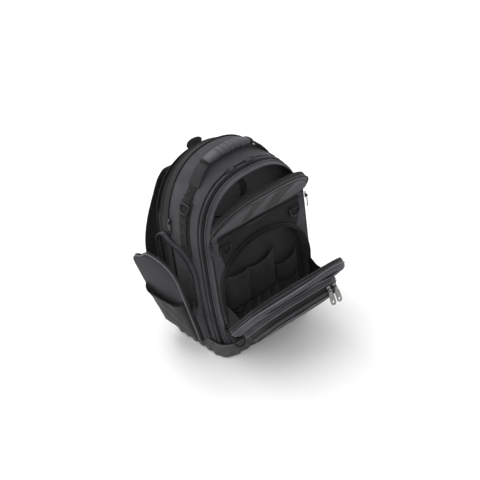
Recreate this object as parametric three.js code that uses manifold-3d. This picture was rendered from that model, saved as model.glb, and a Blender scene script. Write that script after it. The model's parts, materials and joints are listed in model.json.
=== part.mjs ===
// A tool backpack standing on its moulded base, with its front and side pockets open.
// X is the width, +Y points to the wearer's back, +Z is up. The origin is the centre of the base's
// underside. Lengths are in millimetres and angles in degrees.
import * as THREE from 'three';
import { mergeVertices } from 'three/addons/utils/BufferGeometryUtils.js';
import Module from 'manifold-3d';

const wasm = await Module();
wasm.setup();

// Cloth, seams and clearances
const clothWall = 2.5;
const pocketWall = 1.6;
const seamGap = 0.3;
const coverSeat = 0.8;
const pocketSeat = 2.1;
const sideSeat = 1.5;
const webbingThick = 2;

// Body
const packHalfWidth = 148;
const archTop = 480;
const shoulderHeight = 290;
const bulgeHeight = 200;
const backPadThick = 12;
const backPadRound = 6;
const laptopDepth = 49;
const mainDepth = 107;
const frontDepth = 33;
const dividerThick = 4;
const dividerSetback = 20;
const laptopDividerSetback = 1;
const frontTuck = 9;
const laptopZipEnd = 352;
const laptopZipRamp = 24;
const laptopMouthLip = 11;

// Moulded base
const baseSetIn = 7;
const baseHalfWidth = packHalfWidth - baseSetIn;
const baseHalfDepth = 105;
const baseHeight = 38;
const baseCorner = 35;
const baseWall = 3.5;
const baseChamfer = 4;
const lugCount = 9;
const lugProud = 3;
const lugHeight = 15;
const lugWidth = 14;
const lugFoot = 2;

// Front compartment, whose cover leans forward above its zip ends
const coverCrease = 340;
const coverTop = 453;
const coverHalfWidth = 138;
const coverLean = 36;
const coverRimDepth = 14;
const coverRimInset = 1;
const creaseSetback = 7;
const innerPocket = { halfShare: 0.82, foot: 60, aboveCrease: 22, footDepth: 6, mouthDepth: 14, sag: 8 };

// Tool bay and its open flap
const bayHalfWidth = 131;
const bayFoot = 58;
const bayShoulder = 175;
const bayTop = 294;
const bayDepth = 33;
const bayProud = 12;
const bayMargin = 2;
const flapHinge = 95;
const flapHalfWidth = 138;
const flapShoulder = 120;
const flapHeight = 208;
const flapLean = 44;
const flapRimDepth = 22;
const flapRimRound = 6;
const flapFootCorner = 10;
const flapPower = 2.6;
const webFoot = 14;
const webShare = 0.66;
const outerPocketHalfWidth = 112;
const outerPocketHeight = 176;
const outerPocketShoulder = 80;
const outerPocketFoot = 4;
const outerPocketDepth = 36;
const outerPocketSlope = 23;
const outerPocketShave = 12;

// Side pockets: the left one is open, the right one is zipped shut
const sideFront = -50;
const sideRear = 85;
const sideFoot = 44;
const sideTop = 300;
const sideCorner = 40;
const sideFootCorner = 18;
const sideLip = 14;
const sideZipEnd = 150;
const sideLipRamp = 22;
const sideFlapThick = 10;
const sideFlapFrontDrop = 46;
const sideRearLean = 16;
const sideFrontLean = 11;
const slipPocketShare = 0.6;
const slipPocketDepth = 16;
const slipPocketFootDepth = 7;
const slipPocketInset = 7;
const slipPocketSag = 16;

// Shoulder straps, carrying handle, webbing and hardware
const strapWidth = 64;
const strapThick = 13;
const strapWebbingWidth = 25;
const handleY = -22;
const handleWidth = 27;
const gripHalfLength = 62;
const gripThick = 19;
const sideWebbingWidth = 38;
const sideWebbingShares = [0.385, 0.3, 0.2, 0.12, 0.045];
const ringWire = 2;
const ringWidth = 34;
const ringDrop = 26;
const ringLift = 5;
const ringNear = 3;
const loopWidth = 22;
const loopWall = 2;
const loopClear = 0.5;
const pullLift = 5;
const pullBar = 0.8;
const pullWidth = 11;
const pullLength = 30;
const pullNeck = { half: 4.4, foot: 8, flare: 13 };
const pullSlot = { half: 2.9, foot: 5.5 };
const slider = { width: 9, length: 12, rise: 2, height: 2.8, eye: 2.6, hole: 1.5, tail: 3.6, loop: 4 };
const silverPullWidth = 14;
const silverPullLength = 38;

// Depths of the body's layers, from the wearer's back to the front
const backFace = baseHalfDepth - 8;
const laptopRear = backFace - backPadThick;
const mainRear = laptopRear - laptopDepth;
const mainFront = mainRear - mainDepth;
const frontFace = mainFront - frontDepth;
const bayRim = frontFace - clothWall - bayProud;

const degrees = Math.PI / 180;
const curveSegments = 4;
const group = new THREE.Group();
group.name = 'tool_backpack';

const point3 = (x, y, z) => new THREE.Vector3(x, y, z);
const mix = THREE.MathUtils.lerp;
const clamp = THREE.MathUtils.clamp;

function cloth(color, roughness = 0.85) {
  return new THREE.MeshStandardMaterial({ color, roughness, metalness: 0 });
}

const charcoal = () => cloth(0x4a484d);
const blackCloth = () => cloth(0x262527);
const webbing = () => cloth(0x1d1c1e);
const rubber = () => cloth(0x454546, 0.55);
const blackMetal = () => new THREE.MeshStandardMaterial({ color: 0x232324, roughness: 0.45, metalness: 0.7 });
const nickel = () => new THREE.MeshStandardMaterial({ color: 0x9a9a98, roughness: 0.3, metalness: 1 });

function addMesh(name, geometry, material, parent = group) {
  const mesh = new THREE.Mesh(geometry, material);
  mesh.name = name;
  parent.add(mesh);
  return mesh;
}

function signedVolume(positions, triangles) {
  const corner = (index) => new THREE.Vector3().fromArray(positions, index * 3);
  let volume = 0;
  for (let first = 0; first < triangles.length; first += 3) {
    const [a, b, c] = [0, 1, 2].map((step) => corner(triangles[first + step]));
    volume += a.dot(b.cross(c)) / 6;
  }
  return volume;
}

// A closed body skinned over a chain of loops that have equal point counts. A capped chain is closed
// at both ends, where each point pairs with its mirror partner. Any other chain joins its last loop
// to its first, which makes a ring.
function skin(loops, capped) {
  const count = loops[0].length;
  const positions = loops.flat().flatMap((corner) => corner.toArray());
  const triangles = [];
  const at = (loop, point) => (loop % loops.length) * count + (point % count);
  const quad = (a, b, c, d) => triangles.push(a, b, c, a, c, d);
  const spans = capped ? loops.length - 1 : loops.length;
  for (let loop = 0; loop < spans; loop += 1) {
    for (let point = 0; point < count; point += 1) {
      quad(at(loop, point), at(loop, point + 1), at(loop + 1, point + 1), at(loop + 1, point));
    }
  }
  if (capped) {
    const last = loops.length - 1;
    for (let point = 0; point < count / 2 - 1; point += 1) {
      const far = count - 1 - point;
      quad(at(0, point), at(0, far), at(0, far - 1), at(0, point + 1));
      quad(at(last, point + 1), at(last, far - 1), at(last, far), at(last, point));
    }
  }
  if (signedVolume(positions, triangles) < 0) triangles.reverse();
  const geometry = new THREE.BufferGeometry();
  geometry.setAttribute('position', new THREE.Float32BufferAttribute(positions, 3));
  geometry.setIndex(triangles);
  return geometry;
}

function toManifold(geometry) {
  const bare = geometry.clone();
  bare.deleteAttribute('normal');
  bare.deleteAttribute('uv');
  const merged = mergeVertices(bare, 1e-4);
  return new wasm.Manifold(new wasm.Mesh({
    numProp: 3,
    vertProperties: new Float32Array(merged.attributes.position.array),
    triVerts: new Uint32Array(merged.index.array),
  }));
}

function joined(geometries) {
  const solid = geometries.map(toManifold).reduce((sum, next) => sum.add(next));
  const mesh = solid.getMesh();
  const geometry = new THREE.BufferGeometry();
  geometry.setAttribute('position', new THREE.BufferAttribute(new Float32Array(mesh.vertProperties), 3));
  geometry.setIndex(Array.from(mesh.triVerts));
  return geometry;
}

// Body sections as shares of the half width and the arch top; foot is the half width at the base.
const bodySections = [
  { y: backFace, half: 0.959, foot: 0.80, top: 0.935, power: 2.25 },
  { y: laptopRear, half: 0.959, foot: 0.86, top: 0.948, power: 2.25 },
  { y: mainRear, half: 1, foot: 0.919, top: 1, power: 2.25 },
  { y: mainFront, half: 0.98, foot: 0.9, top: 0.957, power: 2.43 },
  { y: frontFace, half: 0.932, foot: 0.78, top: 0.944, power: 2.5 },
];

// The body's section at a depth, with its walls moved inwards by inset.
function bodySection(y, inset = 0) {
  const behind = bodySections.findIndex((section) => section.y <= y + 1e-6);
  const next = behind < 0 ? bodySections.length - 1 : Math.max(behind, 1);
  const [from, to] = [bodySections[next - 1], bodySections[next]];
  const share = clamp((from.y - y) / (from.y - to.y), 0, 1);
  const blend = (column) => mix(from[column], to[column], share);
  return {
    half: packHalfWidth * blend('half') - inset,
    footHalf: packHalfWidth * blend('foot') - inset,
    foot: baseWall + seamGap + inset,
    shoulder: shoulderHeight,
    top: archTop * blend('top') - inset,
    power: blend('power'),
  };
}

// How far the sides have spread from the base's width at a height, from 0 to 1.
function spreadAt(z) {
  const share = clamp((z - baseHeight) / (bulgeHeight - baseHeight), 0, 1);
  return 1 - (1 - share) ** 2;
}

const flankShares = [0, 0.075, 0.15, 0.25, 0.38, 0.58];
const archSteps = 10;
const footCorner = 12;

// The arch outline as [x, z] pairs, from the right foot over the top to the left foot.
function archOutline({ half, footHalf, foot, shoulder, top, power }) {
  const right = [[footHalf - footCorner, foot]];
  for (const share of flankShares) {
    const z = mix(foot + footCorner, shoulder, share);
    right.push([mix(footHalf, half, spreadAt(z)), z]);
  }
  for (let step = 0; step < archSteps; step += 1) {
    const angle = (step / archSteps) * 90 * degrees;
    const x = half * Math.cos(angle) ** (2 / power);
    right.push([x, shoulder + (top - shoulder) * Math.sin(angle) ** (2 / power)]);
  }
  const left = right.map(([x, z]) => [-x, z]).reverse();
  return [...right, ...left];
}

const lift = (outline, place) => outline.map(([x, z]) => place(x, z));

// Where the front tucks back towards the base.
const tucked = (y, z) => y + frontTuck * (1 - spreadAt(z));

// A body loop at a depth; the front layers follow the tuck.
function bodyLoop(y, inset = 0, depthAt = () => y) {
  return lift(archOutline(bodySection(y, inset)), (x, z) => point3(x, depthAt(z), z));
}

function bodyRing(name, rear, front, material, frontDepthAt = () => front) {
  const middle = (rear + front) / 2;
  const middleAt = (z) => (rear + frontDepthAt(z)) / 2;
  addMesh(name, skin([
    bodyLoop(rear),
    bodyLoop(middle, 0, middleAt),
    bodyLoop(front, 0, frontDepthAt),
    bodyLoop(front, clothWall, frontDepthAt),
    bodyLoop(middle, clothWall, middleAt),
    bodyLoop(rear, clothWall),
  ], false), material);
}

const bodyPanel = (rear, front, inset) => skin([bodyLoop(rear, inset), bodyLoop(front, inset)], true);

// Moulded base with lugs round its lower edge
function baseLoop(inset, z) {
  const radius = Math.max(baseCorner - inset, 4);
  const centreX = baseHalfWidth - inset - radius;
  const centreY = baseHalfDepth - inset - radius;
  const right = [];
  for (const side of [-1, 1]) {
    for (let step = 0; step <= 6; step += 1) {
      const angle = (side < 0 ? 90 - step * 15 : step * 15) * degrees;
      right.push([centreX + radius * Math.cos(angle), side * (centreY + radius * Math.sin(angle))]);
    }
  }
  const left = right.map(([x, y]) => [-x, y]).reverse();
  return [...right, ...left].map(([x, y]) => point3(x, y, z));
}

function makeBase() {
  const tub = skin([
    baseLoop(baseChamfer, 0), baseLoop(0, baseChamfer), baseLoop(0, baseHeight),
    baseLoop(baseWall, baseHeight), baseLoop(baseWall, baseWall),
  ], true);
  const lugs = [];
  const pitch = (2 * (baseHalfWidth - baseCorner)) / (lugCount - 1);
  for (let index = 0; index < lugCount; index += 1) {
    const lug = new THREE.BoxGeometry(lugWidth, lugProud + baseWall, lugHeight);
    const x = (index - (lugCount - 1) / 2) * pitch;
    lugs.push(lug.translate(x, -baseHalfDepth - (lugProud - baseWall) / 2, lugHeight / 2 + lugFoot));
  }
  const sideCount = Math.round(((2 * (baseHalfDepth - baseCorner)) / pitch)) + 1;
  for (const side of [-1, 1]) {
    for (let index = 0; index < sideCount; index += 1) {
      const lug = new THREE.BoxGeometry(lugProud + baseWall, lugWidth, lugHeight);
      const y = (index - (sideCount - 1) / 2) * pitch;
      const x = side * (baseHalfWidth + (lugProud - baseWall) / 2);
      lugs.push(lug.translate(x, y, lugHeight / 2 + lugFoot));
    }
  }
  addMesh('base_tub', joined([tub, ...lugs]), rubber());
}

// Body layers
function makeBody() {
  const padEdge = backFace - backPadThick / 2;
  addMesh('back_panel', skin([
    bodyLoop(backFace, backPadRound), bodyLoop(padEdge, 0), bodyLoop(laptopRear + seamGap, backPadRound / 2),
  ], true), blackCloth());
  const openEdge = laptopRear - laptopMouthLip;
  const mouthLoop = (wall) => {
    const open = bodyLoop(openEdge, wall);
    return bodyLoop(mainRear + seamGap, wall).map((corner, index) => {
      const opened = clamp((corner.z - laptopZipEnd + laptopZipRamp) / laptopZipRamp, 0, 1);
      return corner.lerp(open[index], opened);
    });
  };
  addMesh('laptop_gusset', skin([
    bodyLoop(laptopRear), mouthLoop(0), mouthLoop(clothWall), bodyLoop(laptopRear, clothWall),
  ], false), blackCloth());
  bodyRing('main_gusset', mainRear, mainFront + seamGap, charcoal());
  bodyRing('front_gusset', mainFront - seamGap, frontFace, charcoal(), (z) => tucked(frontFace, z));
  const inset = clothWall + seamGap;
  const dividerRear = mainRear - laptopDividerSetback;
  addMesh('laptop_divider', bodyPanel(dividerRear, dividerRear - dividerThick, inset), blackCloth());
}

// Front cover: a ring of cloth round the tool bay that leans forward above the crease
function coverPlace(depth) {
  const pivotY = frontFace - creaseSetback;
  return (x, z) => {
    const y = tucked(frontFace - coverSeat, z) - depth;
    if (z <= coverCrease) return point3(x, y, z);
    const reach = z - coverCrease;
    const angle = coverLean * degrees;
    const fromPivot = y - pivotY;
    return point3(
      x,
      pivotY + fromPivot * Math.cos(angle) - reach * Math.sin(angle),
      coverCrease + reach * Math.cos(angle) + fromPivot * Math.sin(angle),
    );
  };
}

const coverOutline = (inset = 0) => archOutline({
  half: coverHalfWidth - inset,
  footHalf: bodySection(frontFace).footHalf - inset,
  foot: baseWall + seamGap + inset,
  shoulder: coverCrease,
  top: coverTop - inset,
  power: 2.6,
});

const bayOutline = (inset = 0) => archOutline({
  half: bayHalfWidth - inset,
  footHalf: bodySection(frontFace).footHalf - clothWall - bayMargin - inset,
  foot: bayFoot + inset,
  shoulder: bayShoulder,
  top: bayTop - inset,
  power: 2.2,
});

function makeCover() {
  const [outer, inner] = [coverOutline(), bayOutline(-2 * seamGap)];
  const crossing = outer.map(([, z], index) => (
    z > coverCrease ? (z - coverCrease) / (z - inner[index][1]) : 0.5));
  const loop = (shareAt, depth) => {
    const place = coverPlace(depth);
    return outer.map(([x, z], index) => (
      place(mix(x, inner[index][0], shareAt(index)), mix(z, inner[index][1], shareAt(index)))));
  };
  const rows = [() => 0, (index) => crossing[index], () => 1];
  const sheet = skin([
    ...rows.map((row) => loop(row, clothWall)), ...rows.map((row) => loop(row, 0)).reverse(),
  ], false);
  const inset = clothWall + coverRimInset;
  const free = (shave) => coverOutline(shave).filter(([, z]) => z >= coverCrease);
  const [rimOuter, rimInner] = [free(inset), free(inset + clothWall)];
  const near = coverPlace(clothWall / 2);
  const far = (x, z) => {
    const clearOfBody = seamGap + (z - coverCrease) * Math.tan(coverLean * degrees) * 0.95;
    return coverPlace(-Math.min(coverRimDepth, clearOfBody))(x, z);
  };
  const rim = skin(rimOuter.map(([x, z], index) => [
    near(x, z), far(x, z), far(...rimInner[index]), near(...rimInner[index]),
  ]), true);
  addMesh('front_cover', joined([sheet, rim]), charcoal());
}

// An open-topped cloth pouch, flat at its rear. Its front bulges by footDepth at the foot and
// mouthDepth at the mouth, and the mouth's front edge sags in the middle.
function pouch({ left, right, foot, top, footDepth, mouthDepth, sag, wall, place }) {
  const steps = 8;
  const loop = (level, inset) => Array.from({ length: steps }, (unused, index) => {
    const share = index / (steps - 1);
    const swell = (1 - Math.abs(2 * share - 1) ** 4) ** 0.5;
    const depth = mix(footDepth, mouthDepth, level);
    const dip = sag * swell * Math.max(0, 2 * level - 1);
    const z = mix(foot, top, level) + (level === 0 ? inset : 0) - dip;
    return place(mix(left + inset, right - inset, share), inset + (depth - 2 * inset) * swell, z);
  });
  const levels = [0, 0.5, 0.75, 1];
  const outside = levels.map((level) => loop(level, 0));
  return skin([...outside, ...levels.map((level) => loop(level, wall)).reverse()], true);
}

// Rear wall of the front compartment, with a slip pocket sewn to it
function makeMainDivider() {
  const front = mainFront + dividerSetback;
  const slipPocket = pouch({
    left: -innerPocket.halfShare * packHalfWidth,
    right: innerPocket.halfShare * packHalfWidth,
    foot: innerPocket.foot,
    top: coverCrease + innerPocket.aboveCrease,
    footDepth: innerPocket.footDepth,
    mouthDepth: innerPocket.mouthDepth,
    sag: innerPocket.sag,
    wall: pocketWall,
    place: (x, depth, z) => point3(x, front + pocketWall / 2 - depth, z),
  });
  const panel = bodyPanel(front + dividerThick, front, clothWall + seamGap);
  addMesh('main_divider', joined([panel, slipPocket]), blackCloth());
}

// Tool bay: a tray set into the cover, with rows of pockets on its rear wall
const bayBack = bayRim + bayDepth;

function makeToolBay() {
  const loop = (inset, y) => lift(bayOutline(inset), (x, z) => point3(x, y, z));
  addMesh('tool_bay', skin([
    loop(0, bayBack), loop(0, bayRim), loop(clothWall, bayRim), loop(clothWall, bayBack - clothWall),
  ], true), blackCloth());
  const toolRear = bayBack - clothWall - seamGap;
  const penTop = bayTop * Math.max(...penSlots.map(({ top }) => top));
  const toolReach = Math.max(...toolPockets.map(({ top, footDepth, mouthDepth }) => (
    mix(footDepth, mouthDepth, (penTop - pocketFoot) / (top * bayTop - pocketFoot)))));
  const penRear = toolRear - toolReach - seamGap;
  const corner = pocketRow(cornerPocket, penRear - penDepth + pocketWall / 2);
  addMesh('tool_pockets', joined(pocketRow(toolPockets, toolRear)), blackCloth());
  addMesh('pen_slots', joined([...pocketRow(penSlots, penRear), ...corner]), blackCloth());
}

const penDepth = 9;
const pocketFoot = bayFoot + footCorner + 2;

// Rows of pockets sewn side by side on one sheet. Edges are shares of the bay's half width, heights
// are shares of its top, and depths at the foot and the mouth are in millimetres.
const toolPockets = [
  { left: -0.84, right: -0.29, top: 0.76, footDepth: 8, mouthDepth: 14, sag: 10 },
  { left: -0.29, right: 0.31, top: 0.765, footDepth: 8, mouthDepth: 15, sag: 12 },
  { left: 0.31, right: 0.8, top: 0.63, footDepth: 8, mouthDepth: 14, sag: 8 },
];

const penSlots = [
  { left: -0.83, right: -0.61, top: 0.45, footDepth: 8, mouthDepth: penDepth, sag: 2 },
  { left: -0.61, right: -0.39, top: 0.45, footDepth: 8, mouthDepth: penDepth, sag: 2 },
  { left: -0.39, right: -0.17, top: 0.455, footDepth: 8, mouthDepth: penDepth, sag: 2 },
  { left: -0.17, right: 0.05, top: 0.46, footDepth: 8, mouthDepth: penDepth, sag: 2 },
  { left: 0.05, right: 0.27, top: 0.465, footDepth: 8, mouthDepth: penDepth, sag: 2 },
  { left: 0.27, right: 0.78, top: 0.475, footDepth: 8, mouthDepth: penDepth, sag: 5 },
];

const cornerPocket = [
  { left: -0.83, right: -0.55, top: 0.42, footDepth: 7, mouthDepth: 9.5, sag: 3 },
];

function pocketRow(rows, rear) {
  return rows.map(({ left, right, top, footDepth, mouthDepth, sag }, index) => pouch({
    left: left * bayHalfWidth - (index > 0 ? pocketWall / 2 : 0),
    right: right * bayHalfWidth + (index < rows.length - 1 ? pocketWall / 2 : 0),
    foot: pocketFoot,
    top: top * bayTop,
    footDepth,
    mouthDepth,
    sag,
    wall: pocketWall,
    place: (x, reach, z) => point3(x, rear - reach, z),
  }));
}

// Flap of the tool bay, folded down and leaning forward about its hinge line
const flapHingeY = bayRim - seamGap;

function flapPlace(x, forward, height) {
  const angle = flapLean * degrees;
  return point3(
    x,
    flapHingeY - height * Math.sin(angle) - forward * Math.cos(angle),
    flapHinge + height * Math.cos(angle) - forward * Math.sin(angle),
  );
}

function flapLoop({ half, shoulder, top, foot, inset, forward }) {
  const steps = 12;
  const right = [
    [half - inset - flapFootCorner, foot + inset], [half - inset, foot + inset + flapFootCorner],
  ];
  for (let step = 0; step < steps; step += 1) {
    const angle = (step / steps) * 90 * degrees;
    const rise = Math.sin(angle) ** (2 / flapPower);
    right.push([(half - inset) * Math.cos(angle) ** (2 / flapPower), mix(shoulder, top - inset, rise)]);
  }
  const left = right.map(([x, height]) => [-x, height]).reverse();
  return [...right, ...left].map(([x, height]) => flapPlace(x, forward, height));
}

function makeFlap() {
  const rim = (inset, forward) => flapLoop({
    half: flapHalfWidth, shoulder: flapShoulder, top: flapHeight, foot: 0, inset, forward,
  });
  addMesh('flap_tray', skin([
    rim(flapRimRound, flapRimDepth), rim(0, flapRimDepth - flapRimRound), rim(0, 0),
    rim(clothWall, 0), rim(clothWall, flapRimDepth - flapRimRound - clothWall / 2),
    rim(flapRimRound + clothWall, flapRimDepth - clothWall),
  ], true), charcoal());
  const pocket = (inset, forward) => flapLoop({
    half: outerPocketHalfWidth,
    shoulder: outerPocketShoulder,
    top: outerPocketHeight,
    foot: outerPocketFoot,
    inset,
    forward,
  });
  const rear = flapRimDepth + seamGap;
  const face = rear + outerPocketDepth;
  addMesh('outer_pocket', skin([
    pocket(outerPocketShave, face), pocket(0, face - outerPocketSlope), pocket(0, rear),
    pocket(clothWall, rear), pocket(clothWall, face - outerPocketSlope),
    pocket(outerPocketShave + clothWall, face - clothWall),
  ], true), charcoal());
}

// Cloth webs that hold the flap at its sides, from outside the bay's wall to inside the flap's rim
const webSeat = 6;
const webRows = [0, 1 / 3, 2 / 3, 1];

function makeFlapWebs() {
  const bayFootHalf = bodySection(frontFace).footHalf - clothWall - bayMargin;
  const insideRim = flapHalfWidth - clothWall - seamGap - pocketWall;
  for (const [side, name] of [[-1, 'flap_web_left'], [1, 'flap_web_right']]) {
    const loop = (offset) => {
      const onBay = webRows.map((share) => {
        const z = mix(flapHinge + webFoot, bayShoulder - webFoot / 2, share);
        const x = mix(bayFootHalf, bayHalfWidth, spreadAt(z)) + seamGap + offset;
        return point3(side * x, bayRim + webSeat, z);
      });
      const onFlap = webRows.map((share) => (
        flapPlace(side * (insideRim + offset), webSeat, mix(webFoot, flapShoulder, share * webShare))));
      return [...onBay, ...onFlap.reverse()];
    };
    addMesh(name, skin([loop(0), loop(pocketWall)], true), blackCloth());
  }
}

// Side pockets. Outlines run from the rear foot over the top to the front foot as [y, z] pairs, and
// the flap's front top corner hangs lower than its rear one.
function sideOutline(inset, frontDrop) {
  const centre = (sideFront + sideRear) / 2;
  const half = (sideRear - sideFront) / 2 - inset;
  const [foot, top] = [sideFoot + inset, sideTop - inset];
  const rear = [
    [half * 0.25, foot], [half - sideFootCorner * 0.9, foot],
    [half - sideFootCorner * 0.17, foot + sideFootCorner * 0.28], [half, foot + sideFootCorner],
  ];
  for (const share of [0.25, 0.5, 0.75]) {
    rear.push([half, mix(foot + sideFootCorner, top - sideCorner, share)]);
  }
  for (let step = 0; step <= 5; step += 1) {
    const angle = step * 18 * degrees;
    rear.push([
      half - sideCorner * (1 - Math.cos(angle)) * 0.9,
      top - sideCorner + sideCorner * Math.sin(angle),
    ]);
  }
  const front = rear.map(([y, z]) => [-y, z]).reverse();
  return [...rear, ...front].map(([y, z]) => {
    const share = (half - y) / (2 * half);
    const rise = clamp((z - foot) / (top - foot), 0, 1);
    return [centre + y, z - frontDrop * share * rise];
  });
}

// Half width of the body's outside at a depth and height below the shoulder.
function flankHalf(y, z) {
  const section = bodySection(y);
  return mix(section.footHalf, section.half, spreadAt(z));
}

// How far the open flap has swung out at a point: a ruled surface between its rear and front edges,
// which lean by different angles.
function flapSwing(y, z) {
  const share = clamp((sideRear - y) / (sideRear - sideFront), 0, 1);
  const rise = (z - sideFoot) / (sideTop - sideFoot - sideFlapFrontDrop * share);
  const rearReach = rise * (sideTop - sideFoot) * Math.tan(sideRearLean * degrees);
  const frontReach = rise * (sideTop - sideFoot - sideFlapFrontDrop) * Math.tan(sideFrontLean * degrees);
  return Math.max(mix(rearReach, frontReach, share), 0);
}

// The flap as rows of its height: each row runs along its outer face and back along its inner face.
function sideFlap(place, inner, outer, frontDrop) {
  const half = (sideRear - sideFront) / 2;
  const shares = [0, 0.2, 0.4, 0.6, 0.8, 1];
  const rises = [0, 0.03, 0.1, 0.22, 0.36, 0.5, 0.64, 0.76, 0.85, 0.92, 0.97, 1];
  return skin(rises.map((rise) => {
    const height = rise * (sideTop - sideFoot);
    const above = clamp((height - (sideTop - sideFoot - sideCorner)) / sideCorner, 0, 1);
    const below = clamp(1 - height / (sideCorner / 2), 0, 1);
    const shrink = 0.9 * sideCorner * (1 - Math.sqrt(1 - above ** 2)) + 0.4 * sideCorner * below ** 2;
    const spot = (share, reach) => {
      const y = mix(sideRear - shrink, sideFront + shrink, share);
      return place(reach, y, sideFoot + height - frontDrop * rise * (sideRear - y) / (2 * half));
    };
    return [
      ...shares.map((share) => spot(share, outer)), ...shares.map((share) => spot(share, inner)).reverse(),
    ];
  }), true);
}

const sideFlapFoot = baseHalfWidth + lugProud + sideLip;

function makeSidePocket(name, side, open) {
  const frontDrop = open ? sideFlapFrontDrop : 0;
  const flapInner = (y, z) => sideFlapFoot + (open ? flapSwing(y, z) : 0);
  const bodyOuter = (y, z) => flankHalf(y, z) + sideSeat;
  const zipEnd = open ? sideZipEnd : sideTop;
  const lipOuter = (y, z) => {
    const closed = flapInner(y, z) - seamGap;
    const parted = Math.min(bodyOuter(y, z) + sideLip, closed);
    return mix(closed, parted, clamp((z - zipEnd) / sideLipRamp, 0, 1));
  };
  const loop = (inset, reach, drop = 0) => sideOutline(inset, drop).map(([y, z]) => (
    point3(side * reach(y, z), y, z)));
  addMesh(`side_gusset_${name}`, skin([
    loop(0, bodyOuter), loop(0, lipOuter), loop(clothWall, lipOuter), loop(clothWall, bodyOuter),
  ], false), charcoal());

  const flapOuter = (y, z) => flapInner(y, z) + sideFlapThick;
  addMesh(`side_flap_${name}`, sideFlap((reach, y, z) => point3(side * reach(y, z), y, z), flapInner,
    flapOuter, frontDrop), charcoal());

  const mouth = mix(sideFoot, sideTop, slipPocketShare) - frontDrop / 2;
  const seat = open ? pocketSeat : seamGap;
  addMesh(`side_slip_pocket_${name}`, pouch({
    left: sideFront + slipPocketInset,
    right: sideRear - slipPocketInset,
    foot: sideFoot + slipPocketInset,
    top: mouth,
    footDepth: slipPocketFootDepth,
    mouthDepth: slipPocketDepth,
    sag: slipPocketSag,
    wall: pocketWall,
    place: (y, depth, z) => point3(side * (flapOuter(y, z) + seat + depth), y, z),
  }), blackCloth());
}

// Straps and webbing: a flat band swept along a path, with its width along a given direction
function band(path, width, thick, across, stepsAlong) {
  const curve = new THREE.CatmullRomCurve3(path, false, 'centripetal');
  const loops = [];
  for (let step = 0; step <= stepsAlong; step += 1) {
    const share = step / stepsAlong;
    const centre = curve.getPointAt(share);
    const tangent = curve.getTangentAt(share);
    const wide = across.clone().addScaledVector(tangent, -across.dot(tangent)).normalize();
    const deep = new THREE.Vector3().crossVectors(tangent, wide);
    const [halfWide, halfDeep] = [width(share) / 2, thick / 2];
    const edge = Math.min(halfDeep, halfWide) * 0.6;
    const section = [
      [halfWide, edge - halfDeep], [halfWide, halfDeep - edge], [halfWide - edge, halfDeep],
      [edge - halfWide, halfDeep], [-halfWide, halfDeep - edge], [-halfWide, edge - halfDeep],
      [edge - halfWide, -halfDeep], [halfWide - edge, -halfDeep],
    ];
    loops.push(section.map(([u, v]) => centre.clone().addScaledVector(wide, u).addScaledVector(deep, v)));
  }
  return skin(loops, true);
}

// A shoulder strap's centre line: out as a share of the half width, back from the pad, up as a
// share of the arch top.
const strapRoute = [
  { out: 0.34, back: seamGap, up: 0.855 },
  { out: 0.34, back: 10, up: 0.855 },
  { out: 0.36, back: 23, up: 0.85 },
  { out: 0.43, back: 34, up: 0.81 },
  { out: 0.53, back: 46, up: 0.71 },
  { out: 0.63, back: 64, up: 0.57 },
  { out: 0.69, back: 77, up: 0.44 },
  { out: 0.72, back: 80, up: 0.32 },
];

const strapWebbingRoute = [
  { out: 0.76, back: 60, up: 0.20 },
  { out: 0.76, back: 30, up: 0.155 },
  { out: 0.73, back: 13, up: 0.14 },
  { out: 0.7, back: 4.6, up: 0.124 },
  { out: 0.7, back: 1.9, up: 0.108 },
  { out: 0.7, back: 1.4, up: 0.093 },
];
const webbingLead = 14;

function makeStraps() {
  for (const [side, name] of [[-1, 'left'], [1, 'right']]) {
    const route = (rows) => rows.map(({ out, back, up }) => (
      point3(side * out * packHalfWidth, backFace + back, up * archTop)));
    const taper = (share) => strapWidth * (0.82 + 0.18 * Math.sin(Math.PI * share));
    const padded = route(strapRoute);
    const [beforeEnd, end] = padded.slice(-2);
    const along = end.clone().sub(beforeEnd).normalize();
    const leaving = [seamGap, webbingLead].map((reach) => end.clone().addScaledVector(along, reach));
    const across = point3(1, 0, 0);
    addMesh(`shoulder_strap_${name}`, band(padded, taper, strapThick, across, 16), blackCloth());
    addMesh(`strap_webbing_${name}`, band([...leaving, ...route(strapWebbingRoute)],
      () => strapWebbingWidth, webbingThick, across, 12), webbing());
  }
}

// A point on the body's outside at a depth, standing off by a distance. The share runs from 0 at the
// right shoulder to 1 at the top of the arch.
function archPoint(y, share, offset) {
  const { half, shoulder, top, power } = bodySection(y, -offset);
  const angle = share * 90 * degrees;
  return point3(
    half * Math.cos(angle) ** (2 / power), y,
    shoulder + (top - shoulder) * Math.sin(angle) ** (2 / power),
  );
}

// Carrying handle: webbing legs that rise from the arch and pass through a moulded grip
const handleRise = 16;
const legShares = [0.43, 0.48, 0.53];
const legRun = 22;
const gripDrops = { leg: 26, end: 9, middle: 2 };
const gripWall = 3.5;
const gripSlot = { across: 1.5, deep: 1.6 };

function handlePath() {
  const seat = seamGap + webbingThick;
  const right = legShares.map((share) => archPoint(handleY, share, seat));
  const peak = bodySection(handleY).top + handleRise;
  right.push(point3(gripHalfLength + legRun, handleY, peak - gripDrops.leg));
  right.push(point3(gripHalfLength, handleY, peak - gripDrops.end));
  right.push(point3(gripHalfLength / 2, handleY, peak - gripDrops.middle));
  const left = right.map((corner) => point3(-corner.x, corner.y, corner.z)).reverse();
  return [...right, point3(0, handleY, peak), ...left];
}

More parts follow.
